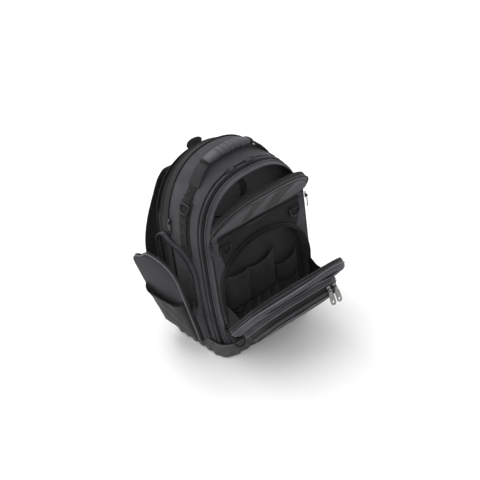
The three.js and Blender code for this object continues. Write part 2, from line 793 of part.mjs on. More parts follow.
function makeHandle() {
  const path = handlePath();
  const across = point3(0, 1, 0);
  addMesh('handle_strap', band(path, () => handleWidth, webbingThick, across, 26), webbing());
  const curve = new THREE.CatmullRomCurve3(path, false, 'centripetal');
  const samples = Array.from({ length: 121 }, (unused, index) => curve.getPointAt(index / 120));
  const gripPath = samples.filter((corner) => Math.abs(corner.x) <= gripHalfLength);
  const tube = (halfWide, halfDeep) => {
    const loops = [];
    for (let step = 0; step <= 8; step += 1) {
      const centre = gripPath[Math.round((step / 8) * (gripPath.length - 1))];
      const section = [];
      for (let corner = 0; corner < 12; corner += 1) {
        const angle = (corner + 0.5) * 30 * degrees;
        const u = halfWide * Math.sign(Math.cos(angle)) * Math.abs(Math.cos(angle)) ** 0.7;
        const v = halfDeep * Math.sign(Math.sin(angle)) * Math.abs(Math.sin(angle)) ** 0.7;
        section.push(centre.clone().add(point3(0, u, v)));
      }
      loops.push(section);
    }
    return loops;
  };
  const slotWide = handleWidth / 2 + gripSlot.across;
  addMesh('handle_grip', skin([
    ...tube(slotWide + gripWall, gripThick / 2),
    ...tube(slotWide, webbingThick / 2 + gripSlot.deep).reverse(),
  ], false), rubber());
}

// Hardware. Each piece lies in its own frame: X across, Y away from the cloth, Z up towards its hinge
// line, and the hinge line is the frame's X axis.
function hardwareFrame(at, outward, up) {
  const frame = new THREE.Group();
  const normal = outward.clone().normalize();
  const across = new THREE.Vector3().crossVectors(normal, up).normalize();
  const along = new THREE.Vector3().crossVectors(across, normal);
  frame.matrix.makeBasis(across, normal, along).setPosition(at);
  frame.matrix.decompose(frame.position, frame.quaternion, frame.scale);
  group.add(frame);
  return frame;
}

// A profile in the frame's YZ plane, extruded along X
function acrossPlate(shape, width) {
  const plate = new THREE.ExtrudeGeometry(shape, { depth: width, bevelEnabled: false, curveSegments });
  plate.translate(0, 0, -width / 2);
  return plate.applyMatrix4(new THREE.Matrix4().makeBasis(point3(0, 1, 0), point3(0, 0, 1), point3(1, 0, 0)));
}

function circleHole(shape, radius) {
  const hole = new THREE.Path();
  hole.absarc(0, 0, radius, 0, 2 * Math.PI, true);
  shape.holes.push(hole);
  return shape;
}

function eyeShape(lift, radius, tail) {
  const shape = new THREE.Shape();
  shape.absarc(0, 0, radius, -90 * degrees, 90 * degrees, false);
  shape.lineTo(-lift, tail);
  shape.lineTo(-lift, -radius);
  return shape;
}

function ringEye(tail) {
  const eye = circleHole(eyeShape(ringLift - seamGap, ringWire + loopWall, tail), ringWire + loopClear);
  return acrossPlate(eye, loopWidth);
}

function ringGeometry() {
  const half = ringWidth / 2 - ringWire;
  const route = [[-half, 0], [-half * 0.5, 0], [half * 0.5, 0], [half, 0]];
  for (let step = 1; step < 9; step += 1) {
    const angle = step * 20 * degrees;
    route.push([half * Math.cos(angle), -ringNear - (ringDrop - ringNear) * Math.sin(angle)]);
  }
  const count = route.length;
  return skin(route.map(([x, z], index) => {
    const [before, after] = [route[(index + count - 1) % count], route[(index + 1) % count]];
    const along = point3(after[0] - before[0], 0, after[1] - before[1]).normalize();
    const side = new THREE.Vector3().crossVectors(along, point3(0, 1, 0));
    return Array.from({ length: 6 }, (unused, corner) => {
      const angle = (corner + 0.5) * 60 * degrees;
      return point3(x, 0, z).addScaledVector(side, ringWire * Math.cos(angle))
        .add(point3(0, ringWire * Math.sin(angle), 0));
    });
  }), false);
}

function ringFrame(at, outward, up) {
  return hardwareFrame(at.clone().addScaledVector(outward.clone().normalize(), ringLift), outward, up);
}

function makeRing(name, at, outward, up, tail = ringWire + 8) {
  const frame = ringFrame(at, outward, up);
  addMesh(`ring_loop_${name}`, ringEye(tail), webbing(), frame);
  addMesh(`ring_${name}`, ringGeometry(), blackMetal(), frame);
}

function sliderGeometry() {
  const seat = pullLift - seamGap;
  const body = new THREE.BoxGeometry(slider.width, slider.height, slider.length);
  body.translate(0, slider.height / 2 - seat, slider.rise);
  const eye = circleHole(eyeShape(seat - slider.height / 2, slider.eye, slider.tail), slider.hole);
  return joined([body, acrossPlate(eye, slider.loop)]);
}

function pullGeometry(width, length) {
  const half = width / 2;
  const tip = length - half;
  const shape = new THREE.Shape();
  shape.moveTo(-pullNeck.half, pullBar);
  shape.lineTo(pullNeck.half, pullBar);
  shape.lineTo(pullNeck.half, -pullNeck.foot);
  shape.lineTo(half, -pullNeck.flare);
  shape.lineTo(half, -tip);
  shape.absarc(0, -tip, half, 0, -180 * degrees, true);
  shape.lineTo(-half, -pullNeck.flare);
  shape.lineTo(-pullNeck.half, -pullNeck.foot);
  const slot = new THREE.Path([
    [-pullSlot.half, -pullBar], [-pullSlot.half, -pullSlot.foot],
    [pullSlot.half, -pullSlot.foot], [pullSlot.half, -pullBar],
  ].map(([x, y]) => new THREE.Vector2(x, y)));
  const eye = new THREE.Path();
  eye.absarc(0, -tip + 1, half * 0.5, 0, 2 * Math.PI, false);
  shape.holes.push(slot, eye);
  const plate = new THREE.ExtrudeGeometry(shape, { depth: 2 * pullBar, bevelEnabled: false, curveSegments });
  plate.translate(0, 0, -pullBar);
  return plate.rotateX(90 * degrees);
}

function makePull(name, at, outward, up, look = {}) {
  const { width = pullWidth, length = pullLength, material = blackMetal } = look;
  const frame = hardwareFrame(at.clone().addScaledVector(outward.clone().normalize(), pullLift), outward, up);
  addMesh(`slider_${name}`, sliderGeometry(), material(), frame);
  addMesh(`pull_${name}`, pullGeometry(width, length), material(), frame);
}

// Height of the body's arch over a point of its width
function archHeight(y, x) {
  const outline = archOutline(bodySection(y));
  const after = outline.findIndex(([outlineX, z]) => z > shoulderHeight && outlineX <= x);
  const [[nearX, nearZ], [farX, farZ]] = [outline[after - 1], outline[after]];
  return mix(nearZ, farZ, (x - nearX) / (farX - nearX));
}

// Main zip over the body's arch, with two sliders near its top that face away from each other
const mainZipHalf = 4;
const mainZipSeat = 1;
const mainZipFoot = baseHeight + 30;
const mainSliders = [
  { name: 'main_left', x: -17, toward: 1 },
  { name: 'main_right', x: 6, toward: -1 },
];

function makeMainZip() {
  const [low, high] = [mainZipSeat, mainZipSeat + pocketWall];
  const rows = (y, offset) => archOutline(bodySection(y, -offset)).filter(([, z]) => z > mainZipFoot);
  const [rearLow, rearHigh] = [rows(mainFront + mainZipHalf, low), rows(mainFront + mainZipHalf, high)];
  const [foreLow, foreHigh] = [rows(mainFront - mainZipHalf, low), rows(mainFront - mainZipHalf, high)];
  const corner = (row, index, y) => point3(row[index][0], y, row[index][1]);
  const tape = skin(rearLow.map((unused, index) => [
    corner(rearLow, index, mainFront + mainZipHalf), corner(rearHigh, index, mainFront + mainZipHalf),
    corner(foreHigh, index, mainFront - mainZipHalf), corner(foreLow, index, mainFront - mainZipHalf),
  ]), true);
  const outward = point3(0, -0.2, 1).normalize();
  const sliders = mainSliders.map(({ name, x, toward }) => {
    const seat = point3(x, mainFront, archHeight(mainFront, x) + mainZipSeat);
    const frame = hardwareFrame(seat.addScaledVector(outward, pullLift), outward, point3(toward, 0, 0.15));
    addMesh(`pull_${name}`, pullGeometry(pullWidth, pullLength), blackMetal(), frame);
    frame.updateMatrix();
    return sliderGeometry().applyMatrix4(frame.matrix);
  });
  addMesh('main_zip', joined([tape, ...sliders]), blackCloth());
}

// Pulls and rings on the front. Below is the drop from the crease or the flap's hinge, and off is how
// far a seat stands off the cover's face where the piece is tilted.
const coverPull = { beyond: 2, off: 1.6, below: 14 };
const bayPull = { within: 2, off: 0.9, below: 5, turn: 0.25 };
const upperRing = { x: 104, below: 28 };
const lowerRing = { x: 98, off: 1.3, aboveBase: 6, tilt: 25, tail: 2 };

function makeFrontHardware() {
  const coverFront = (z) => tucked(frontFace - coverSeat, z) - clothWall;
  const up = point3(0, 0, 1);
  for (const [side, name] of [[-1, 'left'], [1, 'right']]) {
    const zipEnd = coverCrease - coverPull.below;
    const edgeX = side * (coverHalfWidth + coverPull.beyond);
    const edge = point3(edgeX, coverFront(zipEnd) - coverPull.off, zipEnd);
    makePull(`cover_${name}`, edge, point3(side, -1, 0), up);
    const bayEnd = flapHinge - bayPull.below;
    const rim = point3(side * (bayHalfWidth - bayPull.within), coverFront(bayEnd) - bayPull.off, bayEnd);
    makePull(`bay_${name}`, rim, point3(side * bayPull.turn, -1, 0), up);
    const height = coverCrease - upperRing.below;
    makeRing(`upper_${name}`, point3(side * upperRing.x, coverFront(height), height), point3(0, -1, 0), up);
    const overRim = baseHeight + lowerRing.aboveBase;
    const [sine, cosine] = [Math.sin(lowerRing.tilt * degrees), Math.cos(lowerRing.tilt * degrees)];
    makeRing(`lower_${name}`, point3(side * lowerRing.x, coverFront(overRim) - lowerRing.off, overRim),
      point3(0, -cosine, sine), point3(0, sine, cosine), lowerRing.tail);
  }
}

// Bright pulls at the middle of the outer pocket's sloping top edge
const outerPulls = [{ name: 'outer_inboard', x: 50 }, { name: 'outer_outboard', x: 74 }];
const outerPull = { tilt: 19.3, forward: 0.8, rise: 0.9 };

function makeOuterPocketPulls() {
  const rear = flapRimDepth + seamGap;
  const forward = rear + outerPocketDepth - outerPocketSlope / 2;
  const rise = (x) => {
    const cosine = (Math.abs(x) / outerPocketHalfWidth) ** (flapPower / 2);
    const sine = Math.sqrt(1 - cosine ** 2);
    return mix(outerPocketShoulder, outerPocketHeight, sine ** (2 / flapPower)) - outerPocketShave / 2;
  };
  const look = { width: silverPullWidth, length: silverPullLength, material: nickel };
  const [sine, cosine] = [Math.sin(outerPull.tilt * degrees), Math.cos(outerPull.tilt * degrees)];
  for (const { name, x } of outerPulls) {
    const seat = flapPlace(x, forward + outerPull.forward, rise(x) + outerPull.rise);
    makePull(name, seat, point3(0, -cosine, sine), point3(0, sine, cosine), look);
  }
}

// Pulls and webbing on the sides. Each webbing strip carries a ring near its top, and its path stands
// off the body by a bow that keeps its straight facets clear of the curve.
const sidePull = { above: 8, within: 6, turn: 0.1 };
const laptopPull = { below: 14, within: 2.4, forward: 6 };
const sideRing = { share: 0.36, bow: 0.6, sink: 0.8, tilt: 25.5, tail: 3 };

function makeSideHardware() {
  const up = point3(0, 0, 1);
  const zipHeight = sideZipEnd + sidePull.above;
  const leaning = sideFlapFoot + flapSwing(sideFront, zipHeight) - sidePull.within;
  makePull('side_left', point3(-leaning, sideFront, zipHeight), point3(-sidePull.turn, -1, 0), up);
  makePull('side_right', point3(sideFlapFoot - sidePull.within, sideRear, zipHeight), point3(0, 1, 0), up);
  const onLaptopZip = point3(
    laptopPull.within - packHalfWidth, mainRear - laptopPull.forward, laptopZipEnd - laptopPull.below);
  makePull('laptop', onLaptopZip, point3(-1, 0, 0), up);
  for (const [side, name] of [[-1, 'left'], [1, 'right']]) {
    const seat = seamGap + webbingThick / 2 + sideRing.bow;
    const path = sideWebbingShares.map((share) => archPoint(handleY, share, seat));
    path.forEach((corner) => { corner.x *= side; });
    const strip = band(path, () => sideWebbingWidth, webbingThick, point3(0, 1, 0), 12);
    const ringAt = archPoint(handleY, sideRing.share, seat + webbingThick / 2 - sideRing.sink);
    ringAt.x *= side;
    const [sine, cosine] = [Math.sin(sideRing.tilt * degrees), Math.cos(sideRing.tilt * degrees)];
    const frame = ringFrame(ringAt, point3(side * cosine, 0, sine), point3(-side * sine, 0, cosine));
    const eye = ringEye(sideRing.tail).applyMatrix4(frame.matrix);
    addMesh(`ring_side_${name}`, ringGeometry(), blackMetal(), frame);
    addMesh(`side_webbing_${name}`, joined([strip, eye]), webbing());
  }
}

makeBase();
makeBody();
makeMainZip();
makeFrontHardware();
makeCover();
makeMainDivider();
makeToolBay();
makeFlap();
makeFlapWebs();
makeSidePocket('left', -1, true);
makeSidePocket('right', 1, false);
makeOuterPocketPulls();
makeSideHardware();
makeStraps();
makeHandle();

export default group;
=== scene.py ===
import json
import math
import bmesh
import bpy
import numpy as np
from mathutils import Matrix, Vector


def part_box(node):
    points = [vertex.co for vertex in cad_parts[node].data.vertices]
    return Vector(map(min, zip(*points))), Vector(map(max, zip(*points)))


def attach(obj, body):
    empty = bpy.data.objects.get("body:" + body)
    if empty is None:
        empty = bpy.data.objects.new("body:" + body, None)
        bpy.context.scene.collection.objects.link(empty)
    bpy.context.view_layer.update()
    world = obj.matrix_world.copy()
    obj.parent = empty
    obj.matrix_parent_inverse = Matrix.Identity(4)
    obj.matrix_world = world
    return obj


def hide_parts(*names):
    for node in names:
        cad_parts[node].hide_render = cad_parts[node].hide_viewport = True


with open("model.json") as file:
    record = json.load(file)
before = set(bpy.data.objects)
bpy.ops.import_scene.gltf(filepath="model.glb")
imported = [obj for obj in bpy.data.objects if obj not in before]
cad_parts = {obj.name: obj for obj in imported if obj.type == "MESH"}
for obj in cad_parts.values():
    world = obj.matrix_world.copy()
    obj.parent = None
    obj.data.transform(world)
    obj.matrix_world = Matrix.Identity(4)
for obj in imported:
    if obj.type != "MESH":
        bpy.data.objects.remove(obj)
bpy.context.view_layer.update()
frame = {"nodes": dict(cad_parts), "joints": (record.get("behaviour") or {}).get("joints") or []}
pi = math.pi


# Linear colour from an sRGB hex string
def colour(text):
    values = np.array([int(text[i:i + 2], 16) for i in (1, 3, 5)]) / 255
    linear = np.where(values <= 0.04045, values / 12.92, ((values + 0.055) / 1.055) ** 2.4)
    return (*linear.tolist(), 1.0)


# Adds a node, sets its properties, and fills or links its inputs
def addNode(tree, kind, inputs=None, **settings):
    node = tree.nodes.new(kind)
    for key, value in settings.items():
        setattr(node, key, value)
    for key, value in (inputs or {}).items():
        if isinstance(value, bpy.types.NodeSocket):
            tree.links.new(value, node.inputs[key])
        else:
            node.inputs[key].default_value = value
    return node


def startMaterial(name):
    material = bpy.data.materials.new(name)
    material.use_nodes = True
    tree = material.node_tree
    tree.nodes.clear()
    return material, tree


def finishMaterial(tree, inputs):
    shader = addNode(tree, "ShaderNodeBsdfPrincipled", inputs)
    addNode(tree, "ShaderNodeOutputMaterial", {"Surface": shader.outputs[0]})


# Mixes two colours by a factor that may be a socket
def mixColour(tree, factor, first, second):
    node = addNode(tree, "ShaderNodeMix", data_type="RGBA")
    for socket, value in ((node.inputs[0], factor), (node.inputs[6], first), (node.inputs[7], second)):
        if isinstance(value, bpy.types.NodeSocket):
            tree.links.new(value, socket)
        else:
            socket.default_value = value
    return node.outputs[2]


def mathNode(tree, operation, first, second=0.0):
    return addNode(tree, "ShaderNodeMath", {0: first, 1: second}, operation=operation).outputs[0]


# Woven cloth: two crossed wave bands for warp and weft, uneven yarn from noise, a soft mottled tone,
# and a lighter tone where the edge attribute is high, partly wear and partly painted light on edges and seams.
# A dark attribute mixes in a second cloth.
def clothMaterial(name, s):
    material, tree = startMaterial(name)
    uv = addNode(tree, "ShaderNodeUVMap").outputs[0]
    place = addNode(tree, "ShaderNodeTexCoord").outputs["Object"]
    bands = 0.314 / (s["pitch"] / 1000)  # one band each pitch, given in mm
    warp = addNode(tree, "ShaderNodeTexWave", {"Vector": uv, "Scale": bands, "Distortion": 0.6},
                   bands_direction="X").outputs["Fac"]
    weft = addNode(tree, "ShaderNodeTexWave", {"Vector": uv, "Scale": bands * s.get("rib", 1.0),
                                               "Distortion": 0.6}, bands_direction="Y").outputs["Fac"]
    weave = mathNode(tree, "MULTIPLY", warp, weft)
    yarn = addNode(tree, "ShaderNodeTexNoise", {"Vector": uv, "Scale": 620.0, "Detail": 3.0}).outputs["Fac"]
    mottle = addNode(tree, "ShaderNodeTexNoise", {"Vector": place, "Scale": 16.0, "Detail": 4.0,
                                                  "Roughness": 0.6}).outputs["Fac"]
    mottle = addNode(tree, "ShaderNodeMapRange", {"Value": mottle, "From Min": 0.32,
                                                  "From Max": 0.7}).outputs[0]
    tone = mixColour(tree, mottle, colour(s["low"]), colour(s["high"]))
    if "second" in s:
        dark = addNode(tree, "ShaderNodeAttribute", attribute_name="dark").outputs["Fac"]
        dark = addNode(tree, "ShaderNodeMapRange", {"Value": dark, "From Min": 0.46,
                                                    "From Max": 0.54}).outputs[0]
        tone = mixColour(tree, dark, tone, colour(s["second"]))
    # Lighter where the edge attribute is high: partly wear, partly painted light
    rubbed_and_painted_light = addNode(tree, "ShaderNodeAttribute", attribute_name="edge").outputs["Fac"]
    tone = mixColour(tree, mathNode(tree, "MULTIPLY", rubbed_and_painted_light, s.get("wear", 0.35)), tone, colour(s["rubbed_and_painted_light"]))
    thread = mathNode(tree, "MULTIPLY", mathNode(tree, "SUBTRACT", yarn, 0.5), s.get("fleck", 0.5))
    thread = mathNode(tree, "ADD", mathNode(tree, "MULTIPLY", weave, 0.35),
                      mathNode(tree, "ADD", thread, 0.82))
    tone = addNode(tree, "ShaderNodeVectorMath", {0: tone, "Scale": thread}, operation="SCALE").outputs[0]
    height = mathNode(tree, "ADD", weave, mathNode(tree, "MULTIPLY", yarn, 0.7))
    soft = addNode(tree, "ShaderNodeTexNoise", {"Vector": place, "Scale": 42.0, "Detail": 3.0}).outputs["Fac"]
    wide = addNode(tree, "ShaderNodeBump", {"Height": soft, "Strength": 0.5, "Distance": 0.0018})
    bump = addNode(tree, "ShaderNodeBump", {"Height": height, "Strength": s.get("bump", 0.5),
                                            "Distance": 0.0004, "Normal": wide.outputs[0]})
    rough = mathNode(tree, "ADD", mathNode(tree, "MULTIPLY", yarn, 0.16), s.get("rough", 0.78) - 0.08)
    finishMaterial(tree, {"Base Color": tone, "Roughness": rough, "Normal": bump.outputs[0],
                          "Sheen Weight": s.get("sheen", 0.07), "Sheen Roughness": 0.45,
                          "Specular IOR Level": 0.2})
    return material


# Moulded rubber: fine pebble grain in bump, a slow tone change, uneven satin gloss, and a lighter tone where
# the edge attribute is high, partly wear and partly painted highlight
def rubberMaterial(name, s):
    material, tree = startMaterial(name)
    place = addNode(tree, "ShaderNodeTexCoord").outputs["Object"]
    slow = addNode(tree, "ShaderNodeTexNoise", {"Vector": place, "Scale": 18.0, "Detail": 5.0}).outputs["Fac"]
    grain = addNode(tree, "ShaderNodeTexVoronoi", {"Vector": place, "Scale": 620.0}).outputs["Distance"]
    tone = mixColour(tree, slow, colour(s["low"]), colour(s["high"]))
    # Lighter where the edge attribute is high: partly wear, partly painted highlight
    rubbed_and_painted_light = addNode(tree, "ShaderNodeAttribute", attribute_name="edge").outputs["Fac"]
    tone = mixColour(tree, mathNode(tree, "MULTIPLY", rubbed_and_painted_light, 0.45), tone, colour(s["rubbed_and_painted_light"]))
    bump = addNode(tree, "ShaderNodeBump", {"Height": grain, "Strength": 0.22, "Distance": 0.0004})
    rough = mathNode(tree, "ADD", mathNode(tree, "MULTIPLY", slow, 0.2), s["rough"])
    finishMaterial(tree, {"Base Color": tone, "Roughness": rough, "Normal": bump.outputs[0],
                          "Specular IOR Level": s.get("specular", 0.4)})
    return material


# Metal: fine brushed scratches in roughness and bump, darker in patches where it is handled
def metalMaterial(name, s):
    material, tree = startMaterial(name)
    place = addNode(tree, "ShaderNodeTexCoord").outputs["Object"]
    squash = addNode(tree, "ShaderNodeMapping", {"Vector": place, "Scale": (1.0, 1.0, 0.12)}).outputs[0]
    scratch = addNode(tree, "ShaderNodeTexNoise", {"Vector": squash, "Scale": 900.0,
                                                   "Detail": 4.0}).outputs["Fac"]
    patch = addNode(tree, "ShaderNodeTexNoise", {"Vector": place, "Scale": 90.0,
                                                 "Detail": 3.0}).outputs["Fac"]
    tone = mixColour(tree, patch, colour(s["low"]), colour(s["high"]))
    bump = addNode(tree, "ShaderNodeBump", {"Height": scratch, "Strength": 0.15, "Distance": 0.0002})
    rough = mathNode(tree, "ADD", mathNode(tree, "MULTIPLY", scratch, 0.25), s["rough"])
    finishMaterial(tree, {"Base Color": tone, "Roughness": rough, "Normal": bump.outputs[0],
                          "Metallic": s["metal"], "Specular IOR Level": 0.5})
    return material


# Weave pitches run from 1.1 to 2.4 mm, about twice the real ones, which are too fine to show
# Outer polyester: matt, faintly violet charcoal with a soft mottle, near black on its darker insets
charcoal = clothMaterial("charcoal_polyester", {
    "low": "#39383c", "high": "#47464b", "second": "#1a191b", "rubbed_and_painted_light": "#5d5b61", "pitch": 1.4,
    "sheen": 0.1
})

# Side panels: a tighter, flatter and darker weave
smooth = clothMaterial("charcoal_smooth_cloth", {
    "low": "#232327", "high": "#2d2d32", "rubbed_and_painted_light": "#434348", "pitch": 1.1, "bump": 0.25,
    "fleck": 0.25
})

# Pocket cloth and bindings: dark slate that parts the pockets from the panels behind
slate = clothMaterial("slate_pocket_cloth", {
    "low": "#242426", "high": "#2e2e30", "rubbed_and_painted_light": "#3f3f42", "pitch": 1.4
})

# Lining: near black, so that the open compartments read as deep
black = clothMaterial("black_lining", {
    "low": "#141414", "high": "#1c1b1c", "rubbed_and_painted_light": "#2b2a2c", "pitch": 1.2
})

# Pocket cloth of the tool bay: a warmer black, a little lighter on its edges, partly from wear and partly from
# painted light
brown = clothMaterial("brownish_black_pocket", {
    "low": "#2b2829", "high": "#383536", "rubbed_and_painted_light": "#504c4d", "pitch": 1.3
})

# Zip tape: black with a coarse rib along it
zipBand = clothMaterial("zip_band", {
    "low": "#141415", "high": "#1d1d1f", "rubbed_and_painted_light": "#2b2b2d", "pitch": 1.2, "rib": 0.6, "bump": 0.7
})

# Piping and coils: the darkest lines, which draw every seam
piping = clothMaterial("dark_piping", {
    "low": "#0e0e0f", "high": "#161517", "rubbed_and_painted_light": "#262527", "pitch": 1.1
})

# Grey piping: the thin light line round the flap and the outer pocket
paleCord = clothMaterial("grey_piping", {
    "low": "#5a595c", "high": "#6c6b6e", "rubbed_and_painted_light": "#858388", "pitch": 1.1
})

# Webbing: black with heavy ribs across it
strapWeb = clothMaterial("black_webbing", {
    "low": "#101011", "high": "#1a1a1b", "rubbed_and_painted_light": "#29282a", "pitch": 1.6, "rib": 0.5, "bump": 0.9,
    "rough": 0.7
})

# Spacer mesh: black with open, deep cells
meshPad = clothMaterial("spacer_mesh", {
    "low": "#0e0e0f", "high": "#171718", "rubbed_and_painted_light": "#252426", "pitch": 2.4, "bump": 1.0, "rough": 0.85
})

# Moulded base: satin grey rubber, lighter on its lugs and lip, partly from wear and partly as painted highlight
baseRubber = rubberMaterial("base_rubber", {
    "low": "#363637", "high": "#434345", "rubbed_and_painted_light": "#58585a", "rough": 0.4
})

# Grip: satin rubber, a little smoother than the base
gripRubber = rubberMaterial("grip_rubber", {
    "low": "#2b2a2d", "high": "#373639", "rubbed_and_painted_light": "#4b4a4e", "rough": 0.38
})

# Black coated hardware: a soft sheen on D-rings, sliders and rivets
blackMetal = metalMaterial("black_coated_metal", {
    "low": "#18181a", "high": "#2b2b2e", "rough": 0.24, "metal": 0.5
})

# Nickel plate: the two bright pulls
nickel = metalMaterial("nickel_plate", {
    "low": "#6d6d6b", "high": "#989895", "rough": 0.2, "metal": 1.0
})

# Cloth inside the front compartment: painted light, a mid grey far lighter than its real dark cloth, so that it
# shows its folds in the shade
painted_light_inner_cloth = clothMaterial("inner_cloth_painted_light", {
    "low": "#605e61", "high": "#6f6d70", "rubbed_and_painted_light": "#807e81", "pitch": 1.3
})

print("materials made")


def unit(vectors):
    return vectors / np.maximum(np.linalg.norm(vectors, axis=-1, keepdims=True), 1e-9)


def smoothStep(low, high, value):
    share = np.clip((value - low) / (high - low), 0, 1)
    return share * share * (3 - 2 * share)


# Cloth waviness in mm: amount times the mean of three crossed sines of the position
def ripple(points, length, amount, seed=0.0):
    k = 2 * pi / length
    x, y, z = points[..., 0], points[..., 1], points[..., 2]
    a = np.sin(k * (x + 0.4 * z) + seed)
    b = np.sin(k * (0.7 * z - 0.5 * x + 0.6 * y) * 1.31 + 2.1 * seed + 1.0)
    c = np.sin(k * (0.8 * y + 0.5 * z + 0.3 * x) * 0.83 + 3.7 * seed + 2.0)
    return amount * (a + b + c) / 3


# A mesh from a grid of points in mm, rows by columns, with lengths as its UVs. It is joined round where
# wrap says so, and it faces away from a point, or towards it where inward says so.
def makeSurface(name, points, material, nodes=(), body="pack", wrap=False, away=None, thick=0.0, marks=None,
                slot=None, inward=False):
    points = np.asarray(points, float)
    rows, columns = points.shape[:2]
    index = np.arange(rows * columns).reshape(rows, columns)
    if wrap:
        index = np.concatenate([index, index[:, :1]], axis=1)
    full = points.reshape(-1, 3)[index]
    across = np.concatenate([[0], np.cumsum(np.linalg.norm(np.diff(full, axis=1), axis=2).mean(axis=0))])
    along = np.concatenate([[0], np.cumsum(np.linalg.norm(np.diff(full, axis=0), axis=2).mean(axis=1))])
    grid = np.stack(np.meshgrid(across, along), axis=-1) / 1000
    corners = [(slice(None, -1), slice(None, -1)), (slice(None, -1), slice(1, None)),
               (slice(1, None), slice(1, None)), (slice(1, None), slice(None, -1))]
    faces = np.stack([index[c] for c in corners], axis=-1).reshape(-1, 4)
    uvs = np.stack([grid[c] for c in corners], axis=-2).reshape(-1, 4, 2)
    flat = points.reshape(-1, 3)
    normal = np.cross(flat[faces[:, 2]] - flat[faces[:, 0]], flat[faces[:, 3]] - flat[faces[:, 1]])
    centre = flat[faces].mean(axis=1)
    reach = centre - (flat.mean(axis=0) if away is None else np.asarray(away, float))
    if ((normal * reach).sum() < 0) != inward:
        faces, uvs = faces[:, ::-1], uvs[:, ::-1]
    mesh = bpy.data.meshes.new(name)
    mesh.from_pydata((flat / 1000).tolist(), [], faces.tolist())
    layer = mesh.uv_layers.new(name="UVMap")
    layer.data.foreach_set("uv", uvs.reshape(-1).astype(np.float32))
    mesh.polygons.foreach_set("use_smooth", np.ones(len(faces), bool))
    # edge: a lighter tone, partly wear and partly painted light; dark: a second, darker cloth
    for key in ("edge", "dark"):
        values = np.zeros(rows * columns) if marks is None or key not in marks else \
            np.broadcast_to(marks[key], (rows, columns)).reshape(-1)
        mesh.attributes.new(key, "FLOAT", "POINT").data.foreach_set("value", values.astype(np.float32))
    mesh.update()
    mesh.materials.append(material)
    piece = bpy.data.objects.new(name, mesh)
    bpy.context.collection.objects.link(piece)
    if thick:
        shell = piece.modifiers.new("thickness", "SOLIDIFY")
        shell.thickness = thick / 1000
        shell.offset = -1
    if body:
        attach(piece, body)
    if nodes:
        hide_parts(*nodes)
    return piece


# A closed tube: path + across·wide·cos + side·deep·sin, superelliptic when power is over 2, with its ends
# drawn to a point
def makeTube(name, path, wide, deep, material, across=(0, 1, 0), sides=12, power=2.0, closed=False,
             marks=None, **more):
    path = np.asarray(path, float)
    if closed:
        tangent = unit(np.roll(path, -1, axis=0) - np.roll(path, 1, axis=0))
    else:
        tangent = unit(np.gradient(path, axis=0))
    across = np.broadcast_to(np.asarray(across, float), path.shape)
    across = unit(across - (across * tangent).sum(axis=1, keepdims=True) * tangent)
    side = np.cross(tangent, across)
    turn = np.arange(sides) * 2 * pi / sides
    c, s = np.cos(turn), np.sin(turn)
    c, s = np.sign(c) * np.abs(c) ** (2 / power), np.sign(s) * np.abs(s) ** (2 / power)
    wide = np.broadcast_to(np.asarray(wide, float), len(path))[:, None, None]
    deep = np.broadcast_to(np.asarray(deep, float), len(path))[:, None, None]
    rings = path[:, None] + across[:, None] * wide * c[None, :, None]
    rings = rings + side[:, None] * deep * s[None, :, None]
    if closed:
        rings = np.concatenate([rings, rings[:1]])
    else:
        caps = np.repeat(path[[0, -1], None], sides, axis=1)
        rings = np.concatenate([caps[:1], rings[:1] * 0.8 + caps[:1] * 0.2, rings,
                                rings[-1:] * 0.8 + caps[1:] * 0.2, caps[1:]])
    piece = makeSurface(name, rings, material, wrap=True, away=path.mean(axis=0), marks=marks, **more)
    return weld(piece)


# Joins doubled corners and turns all faces outward
def weld(piece):
    shape = bmesh.new()
    shape.from_mesh(piece.data)
    bmesh.ops.remove_doubles(shape, verts=shape.verts, dist=1e-6)
    bmesh.ops.recalc_face_normals(shape, faces=shape.faces)
    shape.to_mesh(piece.data)
    shape.free()
    return piece


# A path through given points at even lengths: centripetal knots, Catmull-Rom tangents, Hermite pieces
def throughPoints(points, count):
    points = np.asarray(points, float)
    knots = np.concatenate([[0], np.cumsum(np.linalg.norm(np.diff(points, axis=0), axis=1) ** 0.5)])
    slopes = np.gradient(points, knots, axis=0)
    fine = np.linspace(0, knots[-1], 600)
    at = np.clip(np.searchsorted(knots, fine, side="right") - 1, 0, len(points) - 2)
    gap = knots[at + 1] - knots[at]
    t = ((fine - knots[at]) / gap)[:, None]
    gap = gap[:, None]
    curve = (points[at] * (1 + 2 * t) * (1 - t) ** 2 + slopes[at] * gap * t * (1 - t) ** 2
             + points[at + 1] * t * t * (3 - 2 * t) + slopes[at + 1] * gap * t * t * (t - 1))
    length = np.concatenate([[0], np.cumsum(np.linalg.norm(np.diff(curve, axis=0), axis=1))])
    even = np.linspace(0, length[-1], count)
    return np.stack([np.interp(even, length, curve[:, i]) for i in range(3)], axis=1)


# Camera, fitted to the photograph
def placeCamera():
    azimuth, elevation, roll = math.radians(-35.83), math.radians(33.39), math.radians(-7.78)
    back = Vector((math.sin(azimuth) * math.cos(elevation), -math.cos(azimuth) * math.cos(elevation),
                   math.sin(elevation)))
    right = Vector((math.cos(azimuth), math.sin(azimuth), 0))
    up = back.cross(right)
    right, up = (right * math.cos(roll) + up * math.sin(roll), up * math.cos(roll) - right * math.sin(roll))
    data = bpy.data.cameras.new("camera")
    data.lens, data.sensor_width, data.clip_end = 105.3, 36, 50
    camera = bpy.data.objects.new("camera", data)
    bpy.context.collection.objects.link(camera)
    turned = Matrix((right, up, back)).transposed().to_4x4()
    turned.translation = Vector((0.010725, -0.011953, 0.224823)) + back * 3.3
    camera.matrix_world = turned
    bpy.context.scene.camera = camera


